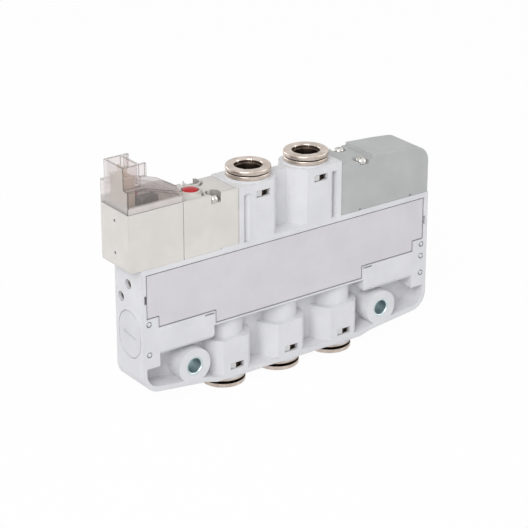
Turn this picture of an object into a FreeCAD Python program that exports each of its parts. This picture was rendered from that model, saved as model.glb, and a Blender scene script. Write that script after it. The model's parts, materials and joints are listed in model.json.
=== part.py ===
"""Five-way solenoid valve with one-touch tube fittings.

Millimetres, +Z up.  X runs along the valve with the pilot end at -X, and the
front face looks towards -Y.  The origin is the centre of the supply port's
mouth, on the plane in which the three lower fittings end.
"""
import FreeCAD
import Part
import math
import os
import re
import Sketcher

doc = FreeCAD.newDocument("FiveWayValve")
sheet = doc.addObject("Spreadsheet::Sheet", "Sizes")

# Driving dimensions: name, value in millimetres or degrees, meaning
SIZES = [
    ("body_length", 112.0, "length of the moulded body"),
    ("body_thickness", 15.0, "thickness of the body, front to back"),
    ("deck_height", 44.8, "underside to the deck that carries pilot and end cover"),
    ("top_height", 63.3, "underside to the mouths of the upper bosses"),
    ("tower_half", 19.95, "half length of the raised middle that holds the upper ports"),
    ("low_pitch", 21.3, "pitch of the lower ports"),
    ("top_pitch", 22.4, "pitch of the upper ports"),
    ("edge_clearance", 0.2, "gap round parts that drop into a recess"),
    ("rim_step", 0.9, "step from the ports' foot up to the sloping rim"),
    ("rim_rise", 3.0, "rise of the rim from the foot to the body's end"),
    ("rim_wall", 1.7, "thickness of the rim under the pockets"),
    ("foot_inset", 1.5, "start of the foot's slope inside the outer lower bosses' ends"),
    ("rim_blend", 3.0, "end of the foot's slope outside the outer lower bosses' ends"),
    ("end_wall", 1.3, "thickness of the body's end walls beside the pockets"),
    ("corner_radius", 6.0, "radius of the body's lower corners"),
    ("web_thickness", 1.6, "web left between front and back pockets"),
    ("top_web_thickness", 3.2, "web between the upper bosses"),
    ("tower_wall", 1.95, "end walls of the raised middle"),
    ("cap_plate", 2.7, "plate that closes the grooves beside the upper bosses"),
    ("pocket_top", 19.9, "underside to the top of the lower pockets"),
    ("column_width", 6.1, "width of the full columns at the body's ends"),
    ("column_foot", 11.7, "underside to the foot of the end columns"),
    ("shoulder_foot", 15.0, "underside to the foot of the piston shoulders"),
    ("shoulder_top", 21.3, "underside to the top of the rounded shoulders"),
    ("shoulder_inner", 29.6, "half distance between the inner ends of the shoulders"),
    ("shoulder_radius", 2.2, "rounding of the shoulders' lower edges"),
    ("boss_radius", 8.65, "radius of the bosses that hold the fittings"),
    ("boss_height", 13.3, "height of the lower bosses"),
    ("spigot_radius", 7.4, "radius of the low spigots round the collars"),
    ("spigot_height", 0.7, "height of the spigots over the bosses"),
    ("neck_radius", 6.3, "radius of the neck above a lower boss"),
    ("mount_spread", 37.1, "half distance between the mounting holes"),
    ("mount_height", 8.05, "underside to the mounting holes"),
    ("mount_boss_radius", 5.85, "radius of the mounting bosses"),
    ("bush_radius", 3.1, "outside radius of the steel bushes"),
    ("bush_bore_radius", 2.4, "bore radius of the steel bushes, for M4 screws"),
    ("bush_chamfer", 0.25, "chamfer of the bushes"),
    ("plate_half", 54.26, "half length of the face plate"),
    ("plate_below_deck", 2.0, "deck to the face plate's top edge"),
    ("plate_tab", 28.5, "underside to the shoulders of the face plate"),
    ("plate_side", 24.9, "underside to the face plate's side edge"),
    ("plate_low", 20.65, "underside to the face plate's lowest edge"),
    ("plate_tab_inset", 4.27, "inset of the face plate's shoulders"),
    ("plate_step_inset", 25.4, "inset of the face plate's lower step"),
    ("plate_thickness", 0.9, "thickness of the face plate"),
    ("plate_sunk", 0.25, "how far the face plate lies below the front face"),
    ("mould_slot_length", 3.6, "length of the two slots under the face plate's side edges"),
    ("mould_slot_height", 0.55, "height of the two slots"),
    ("mould_slot_depth", 1.4, "depth of the two slots"),
    ("mould_slot_gap", 0.4, "wall between a slot and the plate's recess"),
    ("pry_drop", 11.3, "deck to the foot of the pry notches beside the face plate"),
    ("pry_width", 2.8, "height of the pry notches"),
    ("pry_reach", 0.95, "length of the pry notches"),
    ("pry_depth", 1.6, "depth of the pry notches"),
    ("deck_ledge", 0.4, "height of the small ledge on the deck beside the tower"),
    ("deck_ledge_length", 6.6, "length of the small ledge"),
    ("bore_height", 24.4, "underside to the spool bore's axis"),
    ("spool_bore_radius", 4.1, "radius of the spool bore's ribs"),
    ("annulus_radius", 4.8, "radius of the ring chambers at the ports"),
    ("gallery_radius", 5.9, "outside radius of the bore's housing above the lower ports"),
    ("rib_width", 2.4, "width of the ribs between the ring chambers"),
    ("chamber_half", 26.0, "half length of the ported part of the bore"),
    ("pilot_chamber_radius", 4.7, "radius of the pilot piston's chamber"),
    ("return_chamber_radius", 4.1, "radius of the return piston's chamber"),
    ("chamber_start", 31.5, "distance from the middle to the piston chambers"),
    ("passage_radius", 2.6, "radius of the passages from ports to bore"),
    ("cap_radius", 6.1, "radius of the oval end caps"),
    ("cap_straight", 3.6, "straight height of the oval end caps"),
    ("cap_centre", 21.3, "underside to the middle of the end caps"),
    ("cap_depth", 3.6, "thickness of the end caps"),
    ("cap_groove", 0.35, "width and depth of the line round the end caps"),
    ("end_screw_radius", 1.6, "radius of the screw recesses in the end face"),
    ("end_screw_depth", 2.0, "depth of the screw recesses in the end face"),
    ("end_screw_one_y", 0.2, "place of the first end screw across the end face"),
    ("end_screw_one_lift", 1.0, "height of the first end screw over the middle between end cap and deck"),
    ("end_screw_two_y", 4.4, "place of the second end screw across the end face"),
    ("end_screw_two_lift", 3.4, "top of the end cap to the second end screw"),
    ("mark_radius", 0.95, "radius of the ring marks on the end columns"),
    ("mark_core_radius", 0.65, "radius inside the ring marks"),
    ("mark_depth", 0.3, "depth of the ring marks"),
    ("mark_inset", 2.3, "inset of the ring marks from the body's end"),
    ("mark_low", 16.4, "underside to the lower ring mark"),
    ("mark_middle", 22.4, "underside to the middle ring mark of the right column"),
    ("mark_high", 26.6, "underside to the upper ring mark"),
    # one-touch fittings, measured inwards from the mouth of the release ring
    ("ring_stand", 3.8, "how far a fitting stands out of its boss"),
    ("tube_radius", 4.15, "bore radius of the release ring, for 8 mm tube"),
    ("flange_radius", 7.2, "radius of the release ring's flange"),
    ("flange_thickness", 1.4, "thickness of the release ring's flange"),
    ("ring_edge", 0.25, "small bevel on the edges of ring and collar"),
    ("release_travel", 0.6, "how far a lower release ring can be pushed in"),
    ("upper_release_travel", 0.3, "how far an upper release ring can be pushed in, as it hangs lower"),
    ("release_spare", 0.2, "gap left between a pushed-in release ring and its collar"),
    ("sleeve_radius", 5.0, "outside radius of the release ring's sleeve"),
    ("sleeve_reach", 7.4, "depth to which the release ring's sleeve reaches"),
    ("sleeve_taper", 0.6, "length of the taper at the end of the sleeve"),
    ("sleeve_tip", 0.2, "wall left at the end of the sleeve"),
    ("collar_radius", 7.15, "radius of the collar's visible flange"),
    ("cartridge_radius", 6.6, "radius of the collar inside its boss"),
    ("cartridge_reach", 13.0, "depth to which the collar reaches"),
    ("cartridge_clearance", 0.05, "radial clearance of the collar in its boss"),
    ("sleeve_clearance", 0.1, "radial clearance round the release ring's sleeve"),
    ("grip_radius", 5.4, "radius of the collar's grip chamber"),
    ("clip_depth", 6.6, "depth of the clip groove"),
    ("clip_thickness", 1.8, "thickness of the retaining clip"),
    ("clip_inner_radius", 6.15, "inside radius of the retaining clip"),
    ("clip_outer_radius", 7.25, "outside radius of the retaining clip"),
    ("clip_gap", 2.5, "width of the gap between the clip's ends"),
    ("window_width", 5.2, "width of the clip windows"),
    ("window_height", 2.2, "height of the clip windows"),
    ("window_offset", 0.45, "how far a clip window lies beside its fitting's axis"),
    ("window_depth", 6.4, "depth from the mouth to the clip window"),
    ("window_floor", 5.1, "distance from a fitting's axis to the floor of its window"),
    ("chuck_depth", 9.2, "depth of the gripping ring"),
    ("chuck_thickness", 0.5, "thickness of the gripping ring"),
    ("chuck_rise", 0.9, "how far the gripping ring leans inwards"),
    ("chuck_bore_radius", 4.2, "radius at the gripping ring's teeth"),
    ("seal_length", 2.2, "length of the tube seal"),
    ("seal_bevel", 0.6, "bevel of the tube seal's lips"),
    ("seal_radius", 6.0, "outside radius of the tube seal"),
    ("tube_stop", 19.0, "depth at which a pushed-in tube stops"),
    ("tube_seat_radius", 4.1, "radius of the seat that guides the tube's end"),
    # spool group
    ("spool_radius", 2.3, "radius of the spool's shaft"),
    ("land_radius", 3.9, "radius of the spool's lands"),
    ("land_width", 2.6, "width of the spool's lands"),
    ("spool_stroke", 3.0, "stroke of the spool"),
    ("seal_width", 1.2, "width of the spool's seals"),
    ("groove_radius", 3.2, "radius of the seal grooves"),
    ("seal_clearance", 0.05, "radial clearance of the moving seals"),
    ("outer_land", 28.75, "distance from the middle to the outermost lands"),
    ("piston_width", 4.2, "width of the pistons"),
    ("piston_clearance", 0.12, "radial clearance of the pistons"),
    ("piston_gap", 1.0, "rest gap between pilot piston and end cap"),
    ("piston_groove", 1.0, "depth of the grooves in the pistons"),
    # pilot group
    ("adapter_inset", 15.6, "body's end to the adapter's far side"),
    ("stack_height", 18.9, "height of pilot adapter and coil housing above the deck"),
    ("stack_clearance", 0.2, "gap between the stacked housings"),
    ("adapter_drop", 0.3, "depth of the adapter's front lip below the coil housing's rim"),
    ("adapter_recess", 0.85, "depth of the adapter's top below the coil housing's rim"),
    ("adapter_lip", 1.1, "thickness of the adapter's front lip"),
    ("channel_width", 1.5, "width of the channel behind the adapter's lip"),
    ("channel_depth", 1.2, "depth of the channel below the adapter's top"),
    ("channel_reach", 0.65, "width of the channel round a screw boss"),
    ("screw_boss_radius", 2.85, "outside radius of the rims round the screws"),
    ("button_inset", 23.1, "body's end to the override button"),
    ("button_radius", 2.5, "radius of the override button"),
    ("button_clearance", 0.1, "radial clearance of the override button"),
    ("button_length", 6.5, "length of the override button"),
    ("button_below", 0.6, "depth of the button's top below the coil housing's rim"),
    ("button_travel", 1.0, "travel of the override button"),
    ("button_collar", 0.9, "wall of the collar round the button"),
    ("button_collar_height", 0.85, "height of the collar round the button"),
    ("button_relief", 0.3, "radial width of the step inside the button's collar"),
    ("button_relief_depth", 0.9, "depth of the step inside the button's collar"),
    ("button_groove", 2.9, "place of the ring groove above the button's foot"),
    ("button_groove_depth", 0.6, "depth of the ring groove in the button"),
    ("button_edge", 0.3, "bevel of the button's top"),
    ("button_wire", 0.5, "wire of the override spring"),
    ("button_spring_radius", 2.0, "middle radius of the override spring"),
    ("button_spring_pressed", 3.0, "length of the override spring when it is pressed"),
    ("adapter_screw_gap", 8.55, "tower's side to the adapter's screws"),
    ("screw_spread", 5.7, "half distance between a pair of screws"),
    ("screw_head_radius", 1.75, "radius of the screws' heads"),
    ("screw_head_height", 1.2, "height of the screws' heads"),
    ("screw_head_bevel", 0.45, "bevel of the screws' heads"),
    ("screw_tip", 0.3, "bevel at the end of the screws"),
    ("screw_radius", 0.8, "radius of the screws' shanks"),
    ("thread_depth", 1.9, "how far the screws reach into the deck"),
    ("screw_slot_width", 0.45, "width of the cross slot in a screw's head"),
    ("screw_slot_depth", 0.6, "depth of the cross slot in a screw's head"),
    ("counterbore_radius", 2.45, "radius of the screws' counterbores"),
    ("counterbore_depth", 2.4, "depth of the counterbores below the adapter's top"),
    ("gasket_thickness", 0.7, "thickness of the adapter gasket"),
    ("gasket_inset", 0.5, "adapter's far side to the gasket"),
    ("gasket_gap", 1.0, "tower's side to the gasket"),
    ("gasket_width", 9.0, "width of the adapter gasket"),
    ("pilot_passage_radius", 1.0, "radius of the pilot air passages"),
    ("coil_overhang", 4.3, "how far the coil housing stands out over the body's end"),
    ("coil_edge_radius", 1.2, "rounding of the coil housing's lower outer edge"),
    ("coil_wall", 1.2, "wall of the coil housing"),
    ("coil_floor", 1.4, "floor of the coil housing"),
    ("pin_mark_radius", 0.45, "radius of the two mould marks on the coil housing"),
    ("pin_mark_depth", 0.3, "depth of the mould marks"),
    ("pin_mark_low", 4.8, "deck to the lower mould mark"),
    ("pin_mark_high", 15.2, "deck to the upper mould mark"),
    ("cover_height", 7.5, "height of the cover over its far end"),
    ("cover_low", 3.4, "height of the cover beside the adapter"),
    ("cover_wall", 0.9, "wall of the see-through cover"),
    ("tongue_reach", 5.2, "reach of the cover's tongue over the adapter"),
    ("tongue_thickness", 1.0, "thickness of the tongue"),
    ("tongue_front", 3.7, "distance from the middle plane to the tongue's front edge"),
    ("socket_length", 6.3, "length of the connector socket along the valve"),
    ("socket_width", 10.6, "width of the connector socket"),
    ("socket_height", 6.9, "height of the connector socket"),
    ("socket_wall", 0.8, "wall of the connector socket"),
    ("lug_reach", 2.1, "reach of the socket's two latch lugs"),
    ("lug_height", 4.3, "height of the latch lugs"),
    ("lug_width", 1.1, "width of the latch lugs"),
    ("board_thickness", 0.8, "thickness of the circuit board"),
    ("header_width", 7.2, "width of the pin header"),
    ("header_length", 4.3, "length of the pin header"),
    ("header_height", 9.4, "height of the pin header above the board"),
    ("pin_size", 0.64, "side of the square contact pins"),
    ("pin_pitch", 2.0, "pitch of the contact pins"),
    ("pin_reach", 2.6, "how far the pins stand out of the header"),
    ("lamp_radius", 1.25, "radius of the indicator lamp"),
    ("lamp_height", 2.6, "height of the indicator lamp"),
    ("lamp_shoulder_radius", 0.95, "radius at the shoulder of the lamp's dome"),
    ("lamp_crown", 0.3, "height of the lamp's crown over that shoulder"),
    ("lamp_gap", 2.4, "gap between socket and lamp axis"),
    ("lamp_place", 3.0, "distance from the middle plane to the lamp"),
    ("suppressor_length", 6.5, "length of the surge suppressor"),
    ("suppressor_width", 3.4, "width of the surge suppressor"),
    ("suppressor_height", 2.9, "height of the surge suppressor"),
    ("suppressor_gap", 0.8, "gap between cover wall and suppressor"),
    ("suppressor_start", 0.7, "how far the suppressor reaches under the socket"),
    ("yoke_thickness", 1.2, "thickness of the magnet yoke"),
    ("yoke_gap", 0.3, "gap between bobbin and yoke"),
    ("yoke_width", 11.0, "width of the magnet yoke"),
    ("bobbin_length", 12.9, "length of the coil bobbin"),
    ("bobbin_flange", 0.9, "thickness of the bobbin's flanges"),
    ("winding_inset", 0.35, "how far the winding stays below the flanges"),
    ("bobbin_radius", 6.0, "radius of the bobbin's flanges"),
    ("bobbin_tube_radius", 3.2, "outside radius of the bobbin's tube"),
    ("bobbin_bore_radius", 2.75, "bore radius of the bobbin"),
    ("armature_radius", 2.6, "radius of armature and core"),
    ("armature_length", 6.2, "length of the armature"),
    ("armature_edge", 0.4, "bevel of the armature's nose"),
    ("armature_bore_radius", 1.75, "radius of the spring bore in the armature"),
    ("armature_bore_depth", 3.1, "depth of the spring bore in the armature"),
    ("armature_wire", 0.4, "wire of the armature spring"),
    ("armature_spring_radius", 1.4, "middle radius of the armature spring"),
    ("armature_travel", 0.9, "travel of the armature"),
    ("armature_spare", 0.2, "gap left between armature and core at full travel"),
    ("seat_height", 0.8, "height of the valve seat"),
    # end cover
    ("cover_top", 60.7, "underside to the end cover's outer top edge"),
    ("cover_crown", 62.6, "underside to the end cover's crown"),
    ("ledge_top", 61.6, "underside to the end cover's screw ledge"),
    ("ledge_length", 12.9, "length of the end cover's screw ledge"),
    ("cover_radius", 5.6, "radius of the end cover's outer corner"),
    ("cover_inset", 0.3, "how far the end cover stays behind the body's end"),
    ("crown_rise", 0.2, "bulge of the end cover's top"),
    ("cover_screw_gap", 9.05, "tower's side to the end cover's screws"),
    ("cover_seat_depth", 1.3, "depth of the screws' seats below the end cover's ledge"),
    ("cover_seat_step", 0.5, "depth of the wide step of those seats"),
    ("cover_notch", 0.6, "size of the two small notches under the end cover"),
    ("notch_inner", 7.2, "inner end of the end cover to its first notch"),
    ("notch_outer", 7.6, "outer end of the end cover to its second notch"),
]

# Places that follow the body and its tower
FOLLOWING = [
    ("coil_left", "body_length / 2 + coil_overhang", "middle to the coil housing's end"),
    ("adapter_left", "body_length / 2 - adapter_inset", "middle to the adapter's far side"),
    ("button_place", "body_length / 2 - button_inset", "middle to the override button"),
    ("adapter_screw_place", "tower_half + adapter_screw_gap", "middle to the adapter's screws"),
    ("cover_screw_place", "tower_half + cover_screw_gap", "middle to the end cover's screws"),
    ("button_spring_length", "button_spring_pressed + button_travel", "length of the override spring"),
]


def fill_sheet():
    """Write each dimension into the sheet under its own alias."""
    following = [(alias, "=" + text, meaning) for alias, text, meaning in FOLLOWING]
    for row, (alias, size, meaning) in enumerate(SIZES + following, start=1):
        sheet.set(f"A{row}", alias)
        sheet.set(f"B{row}", str(size))
        sheet.setAlias(f"B{row}", alias)
        sheet.set(f"C{row}", meaning)
    doc.recompute()


NAMES = {row[0] for row in SIZES + FOLLOWING}
PARTS = []
ALONG_X = FreeCAD.Rotation(FreeCAD.Vector(0, 1, 0), 90)
BACK_X = FreeCAD.Rotation(FreeCAD.Vector(0, 1, 0), -90)
ALONG_Y = FreeCAD.Rotation(FreeCAD.Vector(1, 0, 0), -90)
UPRIGHT = FreeCAD.Rotation()
UPSIDE_DOWN = FreeCAD.Rotation(FreeCAD.Vector(1, 0, 0), 180)
MARGIN = "1"


def formula(text):
    """Turn bare size names into references to the sheet."""
    return re.sub(r"[a-z_]+", lambda word: "Sizes." + word[0] if word[0] in NAMES else word[0], str(text))


def size_of(text):
    """Value of a formula, in millimetres."""
    return float(sheet.evalExpression(formula(text)))


def bind(item, **formulas):
    """Bind properties of a document object to formulas of the sheet."""
    for name, text in formulas.items():
        item.setExpression(name, formula(text))


def place(item, x, y, z, rotation=UPRIGHT):
    """Give an object its turn and a place bound to the sheet."""
    item.Placement = FreeCAD.Placement(FreeCAD.Vector(0, 0, 0), rotation)
    for axis, text in zip("xyz", (x, y, z)):
        item.setExpression(f".Placement.Base.{axis}", formula(text))
    return item


def block(name, x, y, z, length, width, height):
    """A box from its low corner."""
    item = doc.addObject("Part::Box", name)
    bind(item, Length=length, Width=width, Height=height)
    return place(item, x, y, z)


def centred_block(name, x, z, length, height, width):
    """A box centred on the front-to-back plane, from its low corner in X and Z."""
    return block(name, x, f"-({width})/2", z, length, width, height)


def rod(name, radius, length, x, y, z, rotation=UPRIGHT):
    """A cylinder that starts at a point and runs along its turned axis."""
    item = doc.addObject("Part::Cylinder", name)
    bind(item, Radius=radius, Height=length)
    return place(item, x, y, z, rotation)


def cross_rod(name, radius, x, z, width="body_thickness"):
    """A cylinder from the front face to the back."""
    return rod(name, radius, width, x, f"-({width})/2", z, ALONG_Y)


def cut(name, base, tools):
    """Cut one or more tools out of a base."""
    item = doc.addObject("Part::Cut", name)
    item.Base = base
    item.Tool = tools[0] if len(tools) == 1 else fuse(name + "_tools", tools)
    return item


def fuse(name, shapes):
    """Join several solids."""
    item = doc.addObject("Part::MultiFuse", name)
    item.Shapes = shapes
    return item


def common(name, base, tool):
    """What two solids share."""
    item = doc.addObject("Part::Common", name)
    item.Base = base
    item.Tool = tool
    return item


def group(name, shapes):
    """Several separate solids in one node."""
    item = doc.addObject("Part::Compound", name)
    item.Links = shapes
    return item


def new_sketch(body, plane, outline):
    """A closed outline of straight edges whose corners are bound to the sheet."""
    sketch = body.newObject("Sketcher::SketchObject", body.Name + "_outline")
    origin = next(part for part in body.Origin.OriginFeatures if part.Role == plane)
    sketch.AttachmentSupport = [(origin, "")]
    sketch.MapMode = "FlatFace"
    corners = [FreeCAD.Vector(size_of(u), size_of(v), 0) for u, v in outline]
    for number, corner in enumerate(corners):
        sketch.addGeometry(Part.LineSegment(corner, corners[(number + 1) % len(corners)]))
    for number in range(len(corners)):
        following = (number + 1) % len(corners)
        sketch.addConstraint(Sketcher.Constraint("Coincident", number, 2, following, 1))
    for number, (u, v) in enumerate(outline):
        for kind, text, value in (("DistanceX", u, corners[number].x), ("DistanceY", v, corners[number].y)):
            index = sketch.addConstraint(Sketcher.Constraint(kind, -1, 1, number, 1, value))
            sketch.setExpression(f"Constraints[{index}]", formula(text))
    return sketch


def turned(name, outline, x, y, z, rotation=UPRIGHT):
    """A turned piece: its outline of (radius, height) goes round the local Z axis."""
    body = doc.addObject("PartDesign::Body", name)
    sketch = new_sketch(body, "XZ_Plane", outline)
    turn = body.newObject("PartDesign::Revolution", name + "_turn")
    turn.Profile = sketch
    turn.ReferenceAxis = (sketch, ["V_Axis"])
    turn.Angle = 360
    body.Tip = turn
    return place(body, x, y, z, rotation)


def slab(name, outline, thickness, y_low):
    """A plate whose (x, z) outline is carried from y_low towards the back."""
    body = doc.addObject("PartDesign::Body", name)
    sketch = new_sketch(body, "XZ_Plane", outline)
    pad = body.newObject("PartDesign::Pad", name + "_pad")
    pad.Profile = sketch
    bind(pad, Length=thickness)
    body.Tip = pad
    return place(body, "0", f"({y_low}) + ({thickness})", "0")


def bar(name, outline, length, x_low):
    """A bar whose (y, z) outline is carried from x_low along the valve."""
    body = doc.addObject("PartDesign::Body", name)
    sketch = new_sketch(body, "YZ_Plane", outline)
    pad = body.newObject("PartDesign::Pad", name + "_pad")
    pad.Profile = sketch
    bind(pad, Length=length)
    body.Tip = pad
    return place(body, x_low, "0", "0")


def round_edges(body, radius, chosen, number=""):
    """Round those edges of a body whose middle the test picks."""
    doc.recompute()
    base = body.Tip
    edges = [f"Edge{n}" for n, edge in enumerate(base.Shape.Edges, start=1)
             if chosen(edge.BoundBox.Center, edge.BoundBox)]
    rounding = body.newObject("PartDesign::Fillet", body.Name + "_rounding" + number)
    rounding.Base = (base, edges)
    bind(rounding, Radius=radius)
    body.Tip = rounding
    return body


def near(first, second):
    """Whether two lengths agree."""
    return abs(first - second) < 0.001


def keep(item, label):
    """Give a finished sub-part its label and list it."""
    item.Label = label
    PARTS.append(item)
    return item


fill_sheet()

# Heights and places that follow from the driving dimensions
UNDER = "ring_stand"
DECK = "(ring_stand + deck_height)"
TOP = "(ring_stand + top_height)"
END = "(body_length / 2)"
HALF = "(body_thickness / 2)"
FOOT = "(low_pitch + boss_radius)"
BORE = "(ring_stand + bore_height)"
STACK_TOP = "(ring_stand + deck_height + stack_height)"
CAP_TOP = "(ring_stand + cap_centre + cap_straight / 2 + cap_radius)"
END_SCREWS = {
    "one": f"(({CAP_TOP} + {DECK}) / 2 + end_screw_one_lift)",
    "two": f"({CAP_TOP} + end_screw_two_lift)",
}
INNER_END = "(body_length / 2 - end_wall)"
SHOULDER_LENGTH = f"({END} - column_width - shoulder_inner)"
RIM_END = "(ring_stand + rim_step + rim_rise)"
RIM_SLOPE = f"(rim_rise / ({END} - {FOOT}))"
FOOT_FLAT = f"({FOOT} - foot_inset)"
SLOPE_START = f"({FOOT} + rim_blend)"
SLOPE_RISE = f"(rim_step + {RIM_SLOPE} * rim_blend)"
TOP_MOUTH = "(ring_stand + top_height + ring_stand)"
LOWER_PORTS = {"ea": "-low_pitch", "p": "0", "eb": "low_pitch"}
UPPER_PORTS = {"a": "-top_pitch / 2", "b": "top_pitch / 2"}


def port_mouth(port):
    """Place and turn of a fitting: its local Z runs from the mouth inwards."""
    if port in LOWER_PORTS:
        return LOWER_PORTS[port], "0", "0", UPRIGHT
    return UPPER_PORTS[port], "0", TOP_MOUTH, UPSIDE_DOWN


PORTS = list(UPPER_PORTS) + list(LOWER_PORTS)


def body_block():
    """Outer form of the body, before pockets and bosses."""
    outline = [
        (f"-{FOOT_FLAT}", UNDER), (FOOT_FLAT, UNDER), (SLOPE_START, f"ring_stand + {SLOPE_RISE}"),
        (END, RIM_END),
        (END, DECK), ("tower_half", DECK), ("tower_half", TOP), ("-tower_half", TOP),
        ("-tower_half", DECK), (f"-{END}", DECK), (f"-{END}", RIM_END),
        (f"-{SLOPE_START}", f"ring_stand + {SLOPE_RISE}"),
    ]
    body = slab("body_block", outline, "body_thickness", f"-{HALF}")
    low = size_of(RIM_END)
    return round_edges(body, "corner_radius", lambda at, box: near(at.z, low) and near(box.XLength, 0))


def lower_pocket(name, y_low):
    """Pocket that leaves rim, end walls and web, on one side of the body."""
    depth = f"({HALF} - web_thickness / 2)"
    low = f"ring_stand + rim_step + rim_wall + {RIM_SLOPE} * ({INNER_END} - {FOOT})"
    high = "ring_stand + pocket_top"
    raised = "ring_stand + shoulder_top"
    foot_top = "ring_stand + rim_wall"
    half_outline = [
        (FOOT_FLAT, foot_top), (SLOPE_START, f"{foot_top} + {SLOPE_RISE}"),
        (INNER_END, low), (INNER_END, high),
        (f"{END} - column_width", high), (f"{END} - column_width", raised),
        ("shoulder_inner", raised), ("shoulder_inner", high),
    ]
    mirrored = [(f"-({x})", z) for x, z in reversed(half_outline)]
    body = slab(name, half_outline + mirrored, depth, y_low)
    low_z = size_of(low)
    return round_edges(body, "corner_radius - end_wall",
                       lambda at, box: near(at.z, low_z) and near(box.XLength, 0))


def shoulder(name, x_low, inner_end):
    """Rounded housing of a piston chamber, as it shows in the pocket."""
    low, high = "ring_stand + shoulder_foot", "ring_stand + shoulder_top"
    outline = [(f"-{HALF}", low), (HALF, low), (HALF, high), (f"-{HALF}", high)]
    body = bar(name, outline, SHOULDER_LENGTH, x_low)
    foot, inner = size_of(low), size_of(inner_end)
    return round_edges(body, "shoulder_radius",
                       lambda at, box: near(at.z, foot) and (near(box.YLength, 0) or near(at.x, inner)))


def port_boss(name, x, z_low, height):
    """Boss of a fitting, cut flat by the body's faces."""
    round_boss = rod(name + "_round", "boss_radius", height, x, "0", z_low)
    flats = centred_block(name + "_flats", f"{x} - boss_radius", z_low, "2 * boss_radius", height,
                          "body_thickness")
    return common(name, round_boss, flats)


def plate_outline(grow):
    """Outline of the face plate, grown by a clearance on every side."""
    right, left = f"plate_half + {grow}", f"-plate_half - {grow}"
    top, tab = f"{DECK} - plate_below_deck + {grow}", f"ring_stand + plate_tab - {grow}"
    side, low = f"ring_stand + plate_side - {grow}", f"ring_stand + plate_low - {grow}"
    tab_x, step_x = f"(plate_half - plate_tab_inset + {grow})", f"(plate_half - plate_step_inset + {grow})"
    return [
        (left, top), (left, tab), (f"-{tab_x}", tab), (f"-{tab_x}", side), (f"-{step_x}", side),
        (f"-{step_x}", low), (step_x, low), (step_x, side), (tab_x, side), (tab_x, tab),
        (right, tab), (right, top),
    ]


def spool_passages():
    """Bore of the spool with its ring chambers, and the two piston chambers."""
    tools = [
        rod("bore_ribs", "spool_bore_radius", f"2 * chamber_start + {MARGIN}",
            f"-chamber_start - {MARGIN} / 2", "0", BORE, ALONG_X),
        rod("pilot_chamber", "pilot_chamber_radius", f"{END} - cap_depth - chamber_start",
            "-chamber_start", "0", BORE, BACK_X),
        rod("return_chamber", "return_chamber_radius", f"{END} - cap_depth - chamber_start",
            "chamber_start", "0", BORE, ALONG_X),
    ]
    ribs = ["-chamber_half - rib_width / 2", "-(low_pitch + top_pitch / 2) / 2", "-top_pitch / 4",
            "top_pitch / 4", "(low_pitch + top_pitch / 2) / 2", "chamber_half + rib_width / 2"]
    for number, (left, right) in enumerate(zip(ribs[:-1], ribs[1:])):
        start = f"({left}) + rib_width / 2"
        tools.append(rod(f"ring_chamber_{number}", "annulus_radius", f"({right}) - ({left}) - rib_width",
                         start, "0", BORE, ALONG_X))
    return tools


def port_passages(port):
    """Seat of one fitting and its passage to the spool bore."""
    x, y, z, turn = port_mouth(port)
    seat = "cartridge_radius + cartridge_clearance"
    seal_floor = "cartridge_reach + seal_length"
    reach = f"{BORE}" if port in LOWER_PORTS else f"{TOP_MOUTH} - {BORE}"
    outline = [
        ("0", f"ring_stand - {MARGIN}"), (seat, f"ring_stand - {MARGIN}"), (seat, "cartridge_reach"),
        ("seal_radius", "cartridge_reach"), ("seal_radius", seal_floor), ("tube_seat_radius", seal_floor),
        ("tube_seat_radius", "tube_stop"), ("passage_radius", "tube_stop"),
        ("passage_radius", reach), ("0", reach),
    ]
    passage = turned(f"passage_{port}", outline, x, y, z, turn)
    groove = rod(f"clip_groove_{port}", "clip_outer_radius + cartridge_clearance",
                 "clip_thickness + 2 * cartridge_clearance", x, y,
                 "clip_depth - cartridge_clearance" if port in LOWER_PORTS
                 else f"{TOP_MOUTH} - clip_depth - clip_thickness - cartridge_clearance")
    window_z = "window_depth" if port in LOWER_PORTS else f"{TOP_MOUTH} - window_depth - window_height"
    window = block(f"window_{port}", f"{x} + window_offset - window_width / 2", f"-{HALF} - {MARGIN}",
                   window_z, "window_width", f"{HALF} + {MARGIN} - window_floor", "window_height")
    return [passage, groove, window]


def oval(name, radius, depth, x_low):
    """An oval plug along the valve, with its middle at the caps' height."""
    z_low = "ring_stand + cap_centre - cap_straight / 2"
    lower = rod(name + "_lower", radius, depth, x_low, "0", z_low, ALONG_X)
    upper = rod(name + "_upper", radius, depth, x_low, "0", f"{z_low} + cap_straight", ALONG_X)
    middle = block(name + "_middle", x_low, f"-({radius})", z_low, depth, f"2 * ({radius})", "cap_straight")
    return fuse(name, [lower, upper, middle])


def ring_marks():
    """Shallow ring marks on the front of the end columns."""
    marks = []
    for side, sign, rows in (("left", "-", ("low", "high")), ("right", "", ("low", "middle", "high"))):
        for row in rows:
            x, y, z = f"{sign}({END} - mark_inset)", f"-{HALF} - {MARGIN}", f"ring_stand + mark_{row}"
            depth = f"mark_depth + {MARGIN}"
            outer = rod(f"mark_{side}_{row}_outer", "mark_radius", depth, x, y, z, ALONG_Y)
            inner = rod(f"mark_{side}_{row}_inner", "mark_core_radius", depth, x, y, z, ALONG_Y)
            marks.append(cut(f"mark_{side}_{row}", outer, [inner]))
    return marks


def mould_slots():
    """Two short slots in the front face, under the face plate's side edges."""
    start = "(plate_half - plate_step_inset + edge_clearance + mould_slot_gap)"
    z_low = "ring_stand + plate_side - edge_clearance - mould_slot_gap - mould_slot_height"
    return [block(f"mould_slot_{side}", x_low, f"-{HALF} - {MARGIN}", z_low, "mould_slot_length",
                  f"mould_slot_depth + {MARGIN}", "mould_slot_height")
            for side, x_low in (("left", f"-{start} - mould_slot_length"), ("right", start))]


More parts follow.
